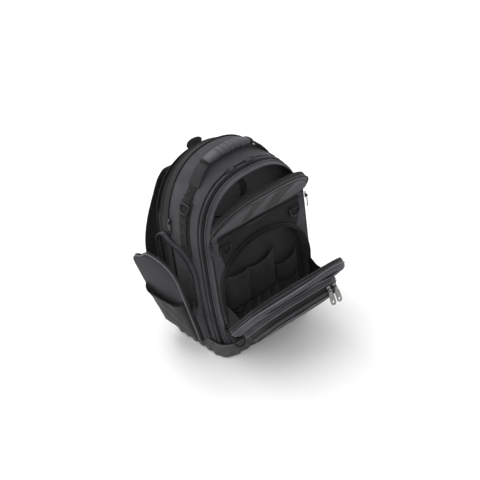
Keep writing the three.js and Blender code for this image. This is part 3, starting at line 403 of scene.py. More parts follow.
# Plain pale floor and soft lights: a broad one overhead, a weaker one from the front left, one from behind
def makeStudio():
    material, tree = startMaterial("studio_floor")
    place = addNode(tree, "ShaderNodeTexCoord").outputs["Object"]
    noise = addNode(tree, "ShaderNodeTexNoise", {"Vector": place, "Scale": 2.0}).outputs["Fac"]
    finishMaterial(tree, {"Base Color": mixColour(tree, noise, colour("#f4f4f4"), colour("#f9f9f9")),
                          "Roughness": 0.9})
    edge = np.linspace(-9000, 9000, 3)
    x, y = np.meshgrid(edge, edge)
    floor = makeSurface("floor", np.stack([x, y, x * 0 - 0.2], axis=-1), material, body=None,
                        away=(0, 0, -9000))
    world = bpy.data.worlds.new("studio")
    world.use_nodes = True
    world.node_tree.nodes["Background"].inputs[0].default_value = (1, 1, 1, 1)
    world.node_tree.nodes["Background"].inputs[1].default_value = 1.0
    bpy.context.scene.world = world
    bpy.context.scene.view_settings.view_transform = "Standard"
    for name, spot, size, power in (("key", (-0.4, 0.3, 2.7), 3.0, 24), ("fill", (-1.6, -2.2, 1.6), 1.6, 10),
                                    ("rim", (0.2, 1.7, 2.3), 1.2, 16)):
        light = bpy.data.lights.new(name, "AREA")
        light.size, light.energy = size, power
        lamp = bpy.data.objects.new(name, light)
        bpy.context.collection.objects.link(lamp)
        lamp.location = spot
        lamp.rotation_euler = (Vector(spot) - Vector((0, 0, 0.25))).to_track_quat("Z", "Y").to_euler()


placeCamera()
makeStudio()
print("camera and studio placed")

packHalf, archTop, shoulderTop = 148, 480, 290

# Body sections along y, as shares of the pack's half width and its height
sectionY = [-104, -71, 36, 85, 97]
sectionHalf = [0.932, 0.98, 1, 0.959, 0.959]
sectionFoot = [0.78, 0.90, 0.919, 0.86, 0.80]
sectionTop = [0.944, 0.957, 1, 0.948, 0.935]
sectionPower = [2.5, 2.43, 2.25, 2.25, 2.25]
flankCount, archCount, footSteps = 26, 76, 22


def spread(z):
    return 1 - (1 - np.clip((z - 38) / 162, 0, 1)) ** 2


# Left foot, up, over the arch and down: x = half·cos(a)^(2/p), z = shoulder + rise·sin(a)^(2/p), with even
# steps of z on the flanks
def archLine(half, footHalf, foot, shoulder, top, power, flare=True):
    share = np.linspace(0, 1, flankCount, endpoint=False)
    angle = np.linspace(0, pi, archCount + 1)
    side = np.concatenate([-np.ones(flankCount), -np.sign(np.cos(angle) + 1e-12), np.ones(flankCount)])
    low = np.concatenate([share, np.ones(archCount + 1), share[::-1]])
    c = np.concatenate([np.ones(flankCount), np.abs(np.cos(angle)), np.ones(flankCount)])
    s = np.concatenate([np.zeros(flankCount), np.abs(np.sin(angle)), np.zeros(flankCount)])
    half, footHalf, top, power = (np.asarray(v, float) for v in (half, footHalf, top, power))
    low = foot + (shoulder - foot) * low
    flank = footHalf + (half - footHalf) * (spread(low) if flare else smoothStep(foot, foot + 20, low))
    x = side * np.where(s > 0, half * c ** (2 / power), flank)
    z = np.where(s > 0, shoulder + (top - shoulder) * s ** (2 / power), low)
    return x, z


# The pack's outer skin at depth y, moved outward by out
def bodySkin(y, out, foot=8.0):
    y, out = np.broadcast_arrays(np.asarray(y, float), np.asarray(out, float))
    y, out = y.reshape(-1, 1), out.reshape(-1, 1)
    half = np.interp(y, sectionY, sectionHalf) * packHalf + out
    footHalf = np.interp(y, sectionY, sectionFoot) * packHalf + out
    top = np.interp(y, sectionY, sectionTop) * archTop + out
    x, z = archLine(half, footHalf, foot, shoulderTop, top, np.interp(y, sectionY, sectionPower))
    tuck = 9 * (1 - spread(z)) * np.clip((-71 - y) / 33, 0, 1)
    return np.stack([x, y + tuck, z], axis=-1)


# A strip of gusset from depth y0 to y1: skin moved out by bulge·sin(pi·share) plus ripples
def gussetStrip(name, y0, y1, material, rows=14, bulge=1.2, out=0.0, thick=2.0, waves=0.6, **more):
    share = np.linspace(0, 1, rows)
    y = y0 + (y1 - y0) * share
    points = bodySkin(y, out + bulge * np.sin(pi * share) ** 0.7)
    points = points + unit(points - [0, 0, 240]) * [1, 0, 1] * ripple(points, 90, waves, y0)[..., None] \
        * np.sin(pi * share)[:, None, None]
    # Lighter within 4 mm of each seam: partly wear, partly painted light along the seams
    edge = np.clip(1 - np.minimum(share, 1 - share) * abs(y1 - y0) / 4, 0, 1)[:, None]
    return makeSurface(name, points, material, away=(0, (y0 + y1) / 2, 200), thick=thick,
                       marks={"edge": edge}, **more)


def gussetPipe(name, y, radius, material, out=0.6, **more):
    return makeTube(name, bodySkin(y, out)[0], radius, radius, material, sides=10, **more)


# Main body: plain gusset, then piping and two zip bands in front of it, then the front compartment's rim
gussetStrip("main_gusset_cloth", 35.4, -60, charcoal, rows=26, bulge=2.2, waves=1.4, nodes=["main_gusset"],
            slot="charcoal_cloth")
gussetPipe("main_rear_piping", 36, 2.3, piping)
gussetStrip("main_seam_fold", -60, -63.5, charcoal, rows=6, bulge=1.6, waves=0.1)
gussetPipe("main_zip_piping_rear", -64.8, 1.7, charcoal, out=0.9)
gussetStrip("main_zip_band", -66, -72.5, piping, rows=8, bulge=-1.6, waves=0.1, nodes=["main_zip"],
            slot="zip_tape")
gussetPipe("main_zip_coil", -69.4, 1.4, zipBand, out=-0.4)
gussetPipe("main_zip_piping_front", -74.8, 2.5, charcoal, out=1.1)
gussetStrip("front_zip_band", -77.0, -88.5, zipBand, rows=8, bulge=-1.8, waves=0.1)
gussetPipe("front_zip_coil", -82.6, 1.5, piping, out=-0.6)
gussetPipe("front_zip_piping", -89.9, 2.3, charcoal, out=1.2)
gussetStrip("front_rim_cloth", -90.5, -103.4, charcoal, rows=10, bulge=1.0, waves=0.3, nodes=["front_gusset"],
            slot="charcoal_cloth")
gussetPipe("front_rim_binding", -103.6, 1.7, slate, out=-1.0)
print("gussets made")


# Laptop compartment's gusset in black, whose mouth stands open above its zip ends:
# y = 36.6 + share·(edge(z) - 36.6)
def makeLaptopSide():
    share = np.linspace(0, 1, 16)[:, None]
    base = bodySkin(np.linspace(36, 85, 16), 0)
    edge = 85 - 11 * smoothStep(328, 352, base[-1:, :, 2])
    y = 36.6 + (edge - 36.6) * share
    points = bodySkin(np.linspace(36, 74, 16), 0)
    high = smoothStep(328, 352, points[..., 2])[..., None]
    points = points * high + base * (1 - high)
    points[..., 1] = y
    # The edge mark lightens the cloth towards the mouth: partly wear, partly painted light
    makeSurface("laptop_side_cloth", points, black, away=(0, 60, 200), thick=2.2, nodes=["laptop_gusset"],
                slot="black_cloth", marks={"edge": share ** 6})
    makeTube("laptop_mouth_binding", points[-1] + [0, 0.4, 0], 1.9, 1.9, piping, sides=10)
    inner = points[-4] + unit(points[-4] - [0, 60, 240]) * [1, 0, 1] * 0.6
    makeTube("laptop_zip_coil", inner, 2.6, 1.0, zipBand, sides=10, power=3)
    wall = bodySkin(33, -2.9)[0]
    panel = fillLine(wall, 14)
    panel[..., 1] = 33 + ripple(panel, 160, 1.2, 4.0)
    makeSurface("laptop_divider_cloth", panel, black, away=(0, 200, 200), thick=3.4, nodes=["laptop_divider"],
                slot="black_cloth", inward=True)


# A filled panel inside an arch line: each row a share of the way from left half to mirrored right half
def fillLine(line, rows):
    count = len(line) // 2
    left, right = line[:count + 1], line[::-1][:count + 1]
    share = np.linspace(0, 1, rows)[:, None, None]
    return left[None] * (1 - share) + right[None] * share


makeLaptopSide()


# Padded back: the rear outline drawn in towards its centre, crowned as channels·pillows on the wearer's side
def makeBackPanel():
    rim = bodySkin(91, 0)[0]
    rows = 40
    share = np.linspace(0, 1, rows)[:, None]
    left, right = rim[:len(rim) // 2 + 1], rim[::-1][:len(rim) // 2 + 1]
    front = left[None] * (1 - share[..., None]) + right[None] * share[..., None]
    x, z = front[..., 0], front[..., 2]
    inset = np.minimum(np.minimum(share, 1 - share) * 2, 1) ** 0.5
    top = np.clip((454 - z) / 30, 0, 1) ** 0.6
    spine = 1 - 0.75 * np.exp(-(x / 11) ** 2)
    bars = 1 - 0.55 * sum(np.exp(-((z - seam) / 6) ** 2) for seam in (150, 285, 400))
    crown = 11 * inset * top * (0.45 + 0.55 * spine * bars)
    rear = front.copy()
    rear[..., 1] = 91 + np.minimum(crown, 9.5)
    faced = front.copy()
    faced[..., 1] = 86.2
    shell = np.concatenate([faced, rear[:, ::-1]], axis=1)
    edge = np.concatenate([np.zeros_like(x), 1 - (spine * bars)[:, ::-1]], axis=1)
    piece = makeSurface("back_pad", shell, meshPad, wrap=True, nodes=["back_panel"], slot="padded_mesh",
                        away=(0, 91, 240), marks={"edge": edge * 0.5})
    weld(piece)
    makeTube("back_piping", bodySkin(88, 0.8)[0], 2.0, 2.0, piping, sides=10)
    peak = throughPoints([(-17, 92, 446), (-15, 97, 455), (0, 99, 458), (15, 97, 455), (17, 92, 446)], 40)
    makeTube("hang_loop", peak, 8, 1.3, strapWeb, sides=14, power=3.5, across=(0, 0.8, 1))


makeBackPanel()
print("back made")

coverCrease, pivotY, coverLean = 340, -111, math.radians(36)


# The cover's face: flat below its crease, and turned forward above it. Depth is forward.
def coverPlace(x, z, depth):
    y = -104.8 + 9 * (1 - spread(z)) - depth
    reach, fromPivot = np.maximum(z - coverCrease, 0), y - pivotY
    leaned = z > coverCrease
    placedY = np.where(leaned, pivotY + fromPivot * math.cos(coverLean) - reach * math.sin(coverLean), y)
    placedZ = np.where(leaned, coverCrease + reach * math.cos(coverLean) + fromPivot * math.sin(coverLean), z)
    bend = np.exp(-((z - coverCrease) / 9) ** 2)
    return np.stack([x + 0 * z, placedY + bend * 1.2, placedZ], axis=-1)


# Closes an arch line along its foot
def closedLine(x, z):
    share = np.linspace(0, 1, footSteps + 2)[1:-1]
    return [np.concatenate([v, v[-1] + (v[0] - v[-1]) * share]) for v in (x.reshape(-1), z.reshape(-1))]


coverHalf, bayHalf, bayTop = 138, 131, 294
coverX, coverZ = closedLine(*archLine(coverHalf, 115.4, 6, coverCrease, 453, 2.6))
bayX, bayZ = closedLine(*archLine(bayHalf, 110.9, 58, 175, bayTop, 2.2))


# Front cover: sheet between the cover's outline and the tool bay's, swelling a little between its seams
def makeCover():
    rows = 64
    share = np.linspace(0, 1, rows)[:, None]
    x = coverX + (bayX - coverX) * share
    z = coverZ + (bayZ - coverZ) * share
    fromEdge = share * np.hypot(coverX - bayX, coverZ - bayZ)
    swell = 1.6 + 2.4 * smoothStep(0, 16, fromEdge) * smoothStep(0, 10, np.abs(z - 338)) * (1 - share ** 8)
    flatPoints = np.stack([x, z * 0, z], axis=-1)
    swell = swell + ripple(flatPoints, 70, 1.1, 1.0) * smoothStep(2, 20, fromEdge)
    points = coverPlace(x, z, swell)
    rim = (z > 345) & (fromEdge < 12)
    distance = np.minimum(337 - z, 121 - np.abs(x) - 0.28 * np.maximum(300 - z, 0))
    for centre, width in ((-44, 15), (34, 25)):
        lean = centre + 0.012 * (z - 350) * np.abs(z - 350) ** 0.6
        inside = np.minimum(width - np.abs(x - lean) + 0.12 * (z - 380), np.minimum(z - 344, fromEdge - 17))
        distance = np.maximum(distance, inside)
    dark = np.clip(0.5 + distance / 8, 0, 1)
    # The top rim band and a thin line beside the face piping are lighter: partly wear, partly painted highlight
    edge = np.where(rim, 0.75, 0.0) + np.exp(-((fromEdge - 14) / 1.8) ** 2) * (z > 345)
    makeSurface("cover_face", points, charcoal, wrap=True, away=(0, 100, 250), thick=2.4,
                nodes=["front_cover"], slot="charcoal_cloth", marks={"dark": dark, "edge": edge})
    seam = coverPlace(coverX, coverZ, 1.6)
    makeTube("cover_edge_piping", seam, 1.9, 1.9, piping, sides=10, closed=True)
    inner = fromEdge[-1]
    at = np.clip(13 / np.maximum(inner, 13), 0, 1) * (inner > 14) + 0.5 * (inner <= 14)
    x2, z2 = coverX + (bayX - coverX) * at, coverZ + (bayZ - coverZ) * at
    top = z2 > 352
    makeTube("cover_face_piping", coverPlace(x2, z2, 3.2)[top], 1.5, 1.5, piping, sides=10)
    crease = np.linspace(-128, 128, 90)
    wave = ripple(np.stack([crease, crease * 0, crease], axis=-1), 80, 0.5)
    line = coverPlace(crease, 334 - 0.0003 * crease ** 2, 3.0 + wave)
    makeTube("cover_crease_piping", line, 1.7, 1.7, piping, sides=10)
    makeTube("cover_crease_band", line + [0, 0.6, -5], 4.2, 1.2, slate, sides=12, power=3, across=(0, 0, 1))


# The leaning cover's rim band, turned in from its edge by depth d: the half zip and its coil
def makeCoverRim():
    rows = 10
    top = coverZ > coverCrease + 1
    x, z = coverX[top], coverZ[top]
    depth = np.minimum(13.5, (z - coverCrease) * 0.69)
    share = np.linspace(0, 1, rows)[:, None]
    shrink = 1 - 2.2 * share / coverHalf
    points = coverPlace(x * shrink, coverCrease + (z - coverCrease) * shrink, 1.2 - depth * share)
    # The edge mark lightens the band's outer edge: partly wear, partly painted highlight
    makeSurface("cover_rim_band", points, slate, away=(0, -130, 340), thick=1.8,
                marks={"edge": (1 - share) ** 3})
    makeTube("cover_rim_coil", points[6], 1.3, 1.0, piping, sides=8)
    makeTube("cover_rim_binding", points[-1], 1.3, 1.3, piping, sides=8)
    back = coverPlace(x * 0.975, coverCrease + (z - coverCrease) * 0.975, -1.8)
    lining = fillLine(back, 24)
    lining = lining + np.array([0, 1, 0.7]) * ripple(lining, 60, 1.0, 7.0)[..., None]
    makeSurface("cover_lining", lining, black, away=(0, -300, 340), thick=1.0)


makeCover()
makeCoverRim()
print("cover made")


# Main divider inside the front compartment, its sagging slip pocket, and a webbing loop tab
def makeInside():
    # The divider and the slip pocket take the interior cloth: painted light, much lighter than the dark cloth
    # they stand for
    panel = fillLine(bodySkin(-53, -3)[0], 26)
    panel[..., 1] = -53 + ripple(panel, 120, 1.6, 2.0)
    makeSurface("divider_cloth", panel, painted_light_inner_cloth, away=(0, -300, 200), thick=3.2, nodes=["main_divider"],
                slot="black_cloth", inward=True)
    rows, columns = 26, 60
    share = np.linspace(0, 1, columns)[None]
    level = np.linspace(0, 1, rows)[:, None]
    swell = (1 - np.abs(2 * share - 1) ** 4) ** 0.5
    depth = (5 + 9 * level) * swell
    x = -120 + 240 * share + 0 * level
    z = 60 + (302 - 6 * swell + 4 * np.sin(share * 5 * pi) * level) * level
    folds = ripple(np.stack([x, z * 0, z], axis=-1), 70, 1.0, 3.0) * swell
    pocket = np.stack([x, -53.6 - depth - folds, z], axis=-1)
    piece = makeSurface("inner_slip_pocket", pocket, painted_light_inner_cloth, away=(0, 100, 200), thick=1.2)
    makeTube("inner_pocket_binding", pocket[-1], 1.4, 2.4, slate, across=(0, 1, 0), sides=10)
    tab = throughPoints([(-6, -55, 420), (-6, -64, 425), (-5, -72, 413), (-5, -74, 392), (-5, -66, 380)], 40)
    makeTube("inside_loop_tab", tab, 8.5, 1.3, slate, across=(1, 0, 0), sides=14, power=3.5)
    shelf = throughPoints([(-112, -98, 338), (-70, -104, 352), (0, -110, 360), (70, -104, 352),
                           (112, -98, 338)], 50)
    drop = np.linspace(0, 1, 12)[:, None, None]
    curtain = shelf[None] + drop * np.array([0, 12, -78]) + np.array([0, -6, 0]) * np.sin(pi * drop)
    curtain = curtain + np.array([0, 1, 0]) * ripple(curtain, 50, 1.6, 5.0)[..., None]
    curtain[..., 1] = np.maximum(curtain[..., 1], -100.5)
    makeSurface("cover_inner_pocket", curtain, smooth, away=(0, -400, 300), thick=1.2)
    makeTube("cover_pocket_binding", curtain[0], 1.5, 2.0, piping, sides=10)


makeInside()


# Tool bay: an arched tray, side wall from y -118.5 back to -86, rear panel, and a dark zip band on its mouth
def makeBay():
    share = np.linspace(0, 1, 14)[:, None]
    swell = 1.2 * np.sin(pi * share)
    x = bayX * (1 + swell / bayHalf)
    z = 176 + (bayZ - 176) * (1 + swell / bayHalf)
    y = -118.2 + 32.2 * share + 9 * (1 - spread(z)) * share
    wall = np.stack([x + 0 * y, y, z + 0 * y], axis=-1)
    wall[..., 0] += ripple(wall, 60, 0.7, 8.0)
    # The edge mark lightens the wall towards the mouth: partly wear, partly painted light
    makeSurface("bay_side_cloth", wall, brown, wrap=True, away=(0, -102, 176), thick=1.8, nodes=["tool_bay"],
                slot="black_cloth", marks={"edge": (1 - share) ** 4})
    count = len(bayX) - footSteps
    rear = fillLine(np.stack([bayX[:count], np.full(count, -86.4), bayZ[:count]], axis=-1), 40)
    rear[..., 1] += ripple(rear, 70, 1.4, 9.0)
    makeSurface("bay_rear_cloth", rear, brown, away=(0, 200, 200), thick=1.5)
    rim = np.stack([bayX, np.full(len(bayX), -118.3), bayZ], axis=-1)
    makeTube("bay_mouth_binding", rim, 2.1, 2.1, piping, sides=10, closed=True)
    outer = np.stack([bayX * 1.03, np.full(len(bayX), -112.5), 176 + (bayZ - 176) * 1.035], axis=-1)
    strip = np.linspace(0, 1, 7)[:, None, None]
    band = (rim + [0, 1.2, 0]) * (1 - strip) + outer * strip
    band = band + (outer - [0, 0, 176]) / 150 * (1.6 * np.sin(pi * strip))
    makeSurface("bay_zip_band", band, zipBand, wrap=True, away=(0, -90, 176), thick=1.4)
    makeTube("bay_zip_coil", band[3], 1.3, 1.0, piping, sides=8, closed=True)
    makeTube("bay_outer_piping", outer + [0, 0.6, 0], 1.6, 1.6, slate, sides=8, closed=True)


makeBay()


# A sewn pouch: y = rear - (footDepth + (mouthDepth - footDepth)·level)·swell, its mouth dipping by sag
def pouch(name, s, nodes=()):
    share = np.linspace(0, 1, 34)[None]
    level = np.linspace(0, 1, 22)[:, None]
    swell = (1 - np.abs(2 * share - 1) ** s.get("square", 4)) ** 0.5
    ends = s.get("ends", (0, 0))
    swell = np.maximum(swell, np.where(share < 0.5, ends[0], ends[1]))
    left, right = s["x"]
    x = left + (right - left) * share + 0 * level
    tops = s["top"][0] + (s["top"][1] - s["top"][0]) * share
    dip = np.sin(pi * share) ** 0.8
    z = s["foot"] + (tops - s["foot"] - s["sag"] * dip * level) * level
    depth = (s["depth"][0] + (s["depth"][1] - s["depth"][0]) * level) * swell
    depth = depth * (0.25 + 0.75 * smoothStep(0, 0.12, level))
    points = np.stack([x, s["rear"] - depth, z], axis=-1)
    folds = ripple(points, 34, s.get("fold", 1.3), s["seed"])
    points[..., 1] -= folds * swell * smoothStep(0, 0.2, level)
    # Lighter at the sides and the mouth: partly wear, partly painted light
    side = np.clip(1 - np.minimum(share, 1 - share) * (right - left) / 3, 0, 1) + 0 * level
    edge = np.maximum(side * 0.5, smoothStep(0.93, 1, level))
    piece = makeSurface(name, points, brown, nodes=nodes, away=(0, 0, 150), thick=1.1,
                        marks={"edge": edge}, slot="black_cloth")
    makeTube(name + "_binding", points[-1], 1.1, 2.1, piping, sides=10, across=(0, 1, 0.2))


# Tool pockets in two layers, with a pen row in front and a low corner pocket
def makePockets():
    pouch("tool_pocket_left", {"x": (-113, -38), "foot": 72, "top": (224, 213), "sag": 5, "depth": (8, 13),
                               "rear": -88.3, "seed": 1.0, "ends": (0, 0.55)}, nodes=["tool_pockets"])
    pouch("tool_pocket_middle", {"x": (-38, 42), "foot": 72, "top": (213, 231), "sag": 9, "depth": (8, 13),
                                 "rear": -88.3, "seed": 2.2, "ends": (0.55, 0.2)})
    pouch("tool_pocket_right", {"x": (42, 110), "foot": 72, "top": (178, 196), "sag": 8, "depth": (8, 14),
                                "rear": -88.3, "seed": 3.1, "ends": (0.3, 0)})
    stops = np.array([-0.83, -0.61, -0.39, -0.17, 0.05, 0.27, 0.78]) * bayHalf
    tops = np.array([0.45, 0.45, 0.455, 0.46, 0.465, 0.475, 0.475]) * bayTop
    for i in range(6):
        name = "low_tool_pocket" if i == 5 else "pen_slot_" + "abcde"[i]
        pouch(name, {"x": (stops[i], stops[i + 1]), "foot": 74, "top": (tops[i], tops[i + 1]),
                     "sag": 2.5 if i < 5 else 8, "depth": (8, 9.5), "rear": -100.4, "square": 3, "fold": 0.4,
                     "ends": (0.0 if i == 0 else 0.6, 0.0 if i == 5 else 0.6), "seed": 4.0 + i},
              nodes=["pen_slots"] if i == 0 else ())
    pouch("corner_pocket", {"x": (-109, -72), "foot": 84, "top": (131, 122), "sag": 4, "depth": (6, 8),
                            "rear": -108.2, "fold": 0.6, "seed": 11.0})


makePockets()
print("bay and pockets made")

flapCos, flapSin = math.cos(math.radians(44)), math.sin(math.radians(44))


# Flap frame: x across, f forward out of its plane, h up along it
def flapPlace(x, f, h):
    return np.stack([x + 0 * h + 0 * f, -118.8 - h * flapSin - f * flapCos + 0 * x,
                     95 + h * flapCos - f * flapSin + 0 * x], axis=-1)


# Tool bay's flap: shallow tray with a soft face, a zip band round its rim and thin grey piping
def makeFlap():
    x, h = closedLine(*archLine(137.5, 131, 2, 112, 207, 2.55, flare=False))
    centre, halfWide, halfHigh = 100, 138, 104
    bend, wallDeep, rounding = 0.62, 17, 6
    share = np.linspace(0, 1, 22)[:, None]
    turn = np.clip((share - bend) / (1 - bend), 0, 1) * pi / 2
    f = np.where(share < bend, wallDeep * share / bend, wallDeep + rounding * np.sin(turn))
    inset = np.where(share < bend, 0.0, rounding * (1 - np.cos(turn)))
    inset = inset - 1.4 * np.sin(pi * np.clip(share / 0.5, 0, 1))
    rimX = x * (1 - inset / halfWide)
    wall = flapPlace(rimX, f, centre + (h - centre) * (1 - inset / halfHigh))
    # The edge mark lightens the rim's bend: partly wear, partly painted highlight
    makeSurface("flap_rim_cloth", wall, charcoal, wrap=True, away=flapPlace(0.0, 8.0, 100.0), thick=2.0,
                nodes=["flap_tray"], slot="charcoal_cloth",
                marks={"edge": np.exp(-((share - bend) / 0.06) ** 2) + 0 * rimX})
    band = flapPlace(x * (1 + 1.3 / halfWide), np.linspace(1.5, 11.5, 7)[:, None],
                     centre + (h - centre) * (1 + 1.3 / halfHigh))
    makeSurface("flap_zip_band", band, zipBand, wrap=True, away=flapPlace(0.0, 6.0, 100.0), thick=1.2)
    makeTube("flap_zip_coil", band[2], 1.2, 1.2, piping, sides=8, closed=True)
    makeTube("flap_rim_binding", flapPlace(x, 0.3, h), 1.9, 1.9, slate, sides=10, closed=True)
    sway = 13.4 - 2.4 * np.sin(pi * x / 137.5)
    makeTube("flap_pale_piping", flapPlace(x * 1.012, sway, centre + (h - centre) * 1.014), 1.6, 1.6, paleCord,
             sides=10, closed=True)
    edgeX = x[:-footSteps] * (1 - rounding / halfWide)
    edgeH = centre + (h[:-footSteps] - centre) * (1 - rounding / halfHigh)
    face = fillLine(flapPlace(edgeX, 23.0, edgeH), 44)
    local = np.stack([face[..., 0], face[..., 1] * 0, face[..., 2]], axis=-1)
    push = (ripple(local, 80, 2.4, 3.0) + 3.0) * smoothStep(0, 26, 134 - np.abs(face[..., 0]))
    face = face + np.array([0, -flapCos, -flapSin]) * push[..., None]
    makeSurface("flap_face_cloth", face, charcoal, away=flapPlace(0.0, -40.0, 100.0), thick=1.8)
    lining = fillLine(flapPlace(edgeX, 19.5, edgeH), 34)
    push = ripple(lining, 60, 1.6, 6.0)
    lining = lining + np.array([0, -flapCos, -flapSin]) * push[..., None]
    makeSurface("flap_lining", lining, black, away=flapPlace(0.0, 60.0, 100.0), thick=0.8)
    makeNetPocket()


# Net pocket inside the flap, bound at its mouth
def makeNetPocket():
    share = np.linspace(0, 1, 50)[None]
    level = np.linspace(0, 1, 16)[:, None]
    swell = (1 - np.abs(2 * share - 1) ** 5) ** 0.5
    x = -122 + 244 * share + 0 * level
    points = flapPlace(x, 18.5 - 7 * level * swell, 14 + 150 * level - 8 * swell * level)
    folds = ripple(points, 45, 1.4, 2.0)[..., None] * level[..., None]
    points = points + np.array([0, flapCos, flapSin]) * folds
    piece = makeSurface("flap_net_pocket", points, meshPad, away=flapPlace(0.0, 60.0, 100.0), thick=0.6)
    makeTube("flap_net_binding", points[-1], 1.2, 2.4, piping, sides=10)


# Outer pocket on the flap: f = 23 + rise·shape, straight sides then a slope, with a curved seam across it
def makeOuterPocket():
    x, h = closedLine(*archLine(112, 108, 4, 80, 176, 2.6, flare=False))
    centre, halfWide, halfHigh, narrowing = 84, 112, 92, 13
    share = np.linspace(0, 1, 30)[:, None]
    straight, slope = np.clip(share / 0.4, 0, 1), np.clip((share - 0.4) / 0.6, 0, 1)
    f = 22.5 + 14 * straight + 21.5 * slope
    inset = narrowing * slope ** 1.1 - 1.6 * np.sin(pi * straight)
    wall = flapPlace(x * (1 - inset / halfWide), f, centre + (h - centre) * (1 - inset / halfHigh))
    wall = wall + unit(wall - flapPlace(0.0, 30.0, 84.0)) * ripple(wall, 48, 1.5, 2.0)[..., None]
    # The edge mark lightens the fold where the straight wall meets the slope: partly wear, partly painted
    # highlight
    makeSurface("outer_pocket_side", wall, charcoal, wrap=True, away=flapPlace(0.0, 35.0, 84.0), thick=1.8,
                nodes=["outer_pocket"], slot="charcoal_cloth",
                marks={"dark": ((share > 0.36) & (share < 0.72)) * 1.0 + 0 * x,
                       "edge": np.exp(-((share - 0.4) / 0.03) ** 2) + 0 * x})
    edgeX = x[:-footSteps] * (1 - narrowing / halfWide)
    edgeH = centre + (h[:-footSteps] - centre) * (1 - narrowing / halfHigh)
    face = fillLine(flapPlace(edgeX, 58.0, edgeH), 44)
    around = np.clip((1 - (face[..., 0] / 99) ** 2), 0, 1) ** 0.5
    push = 1.8 * around + ripple(face, 60, 1.5, 5.0) * around
    face = face + np.array([0, -flapCos, -flapSin]) * push[..., None]
    height = (face[..., 2] - face[..., 2].min()) / np.ptp(face[..., 2])
    curve = 0.42 + 0.2 * np.tanh((face[..., 0] - 6) / 34)
    makeSurface("outer_pocket_face", face, charcoal, away=flapPlace(0.0, 0.0, 84.0), thick=1.8,
                marks={"dark": smoothStep(0.015, -0.015, curve - height)})
    makeTube("outer_pocket_piping", wall[-1], 1.5, 1.5, piping, sides=10, closed=True)
    makeTube("outer_pocket_pale_piping", wall[12], 1.3, 1.3, paleCord, sides=10, closed=True)
    ahead = np.array([0, -flapCos, -flapSin])
    makeTube("outer_pocket_zip", wall[20], 4.2, 1.0, zipBand, sides=12, power=3, closed=True, across=ahead)
    makeTube("outer_pocket_coil", wall[20] + ahead * 0.6, 1.2, 1.3, piping, sides=8, closed=True, across=ahead)


# Black fans of cloth that hold the flap's sides to the bay: ruled between two edges, sagging in the middle
def makeWebs():
    for side, label in ((-1, "left"), (1, "right")):
        low = np.linspace(0, 1, 24)[None, :, None]
        across = np.linspace(0, 1, 18)[:, None, None]
        x0 = np.interp(109 + 59 * low[0, :, 0], [109, 175], [125.8, 131.3])
        bay = np.stack([side * x0, np.full(24, -112.5), 109 + 59 * low[0, :, 0]], axis=-1)
        rim = flapPlace(side * (133.6 + 1.6 * low[0, :, 0]), 6.0, 14 + 65 * low[0, :, 0])
        points = bay[None] * (1 - across) + rim[None] * across
        sag = np.sin(pi * across) * low
        folds = ripple(points, 30, 1.4, 1.0)[..., None] * np.sin(pi * across)
        points = points + np.array([-side * 5.0, 0, -6.0]) * sag + np.array([side, 0, 0]) * folds
        # Lighter towards the top, partly wear and partly painted light; drawn in the darkest piping cloth, a
        # little darker than the black lining, as painted shade so the fans stay dark though lit
        edge = low[..., 0] ** 8 + 0 * across[..., 0]
        makeSurface("flap_fan_" + label, points, piping, away=(0, -140, 130), thick=1.4,
                    nodes=["flap_web_" + label], slot="black_cloth", marks={"edge": edge})


makeFlap()
makeOuterPocket()
makeWebs()
print("flap made")


panelInner = 158


# How far the open side panel stands out from its closed place at depth y and height z
def flapSwing(y, z):
    share = (85 - y) / 135
    rise = (z - 44) / (256 - 46 * share)
    rear, front = rise * 256 * math.tan(math.radians(16)), rise * 210 * math.tan(math.radians(11))
    return np.clip(rear + (front - rear) * share, 0, None)


# Rounded panel line in y and z: foot at 44, top at the height in the rear and lower by the drop in front
def sideLine(drop, corners=(40, 40), height=300):
    ahead, behind = corners
    y0, y1, z0, count = -50, 85, 44, 24
    rear, front = height, height - drop
    turn = np.linspace(0, pi / 2, 14)
    frontCorner = np.stack([y0 + ahead - ahead * np.cos(turn), front - ahead + ahead * np.sin(turn)], axis=-1)
    rearCorner = np.stack([y1 - behind + behind * np.sin(turn), rear - behind + behind * np.cos(turn)],
                          axis=-1)
    frontEdge = np.stack([np.full(count, y0), np.linspace(z0, front - ahead, count, endpoint=False)], axis=-1)
    rearEdge = np.stack([np.full(count, y1), np.linspace(rear - behind, z0, count + 1)[1:]], axis=-1)
    top = np.linspace(0, 1, 12)[1:-1, None]
    bridge = frontCorner[-1] * (1 - top) + rearCorner[0] * top
    return np.concatenate([frontEdge, frontCorner, bridge, rearCorner, rearEdge])


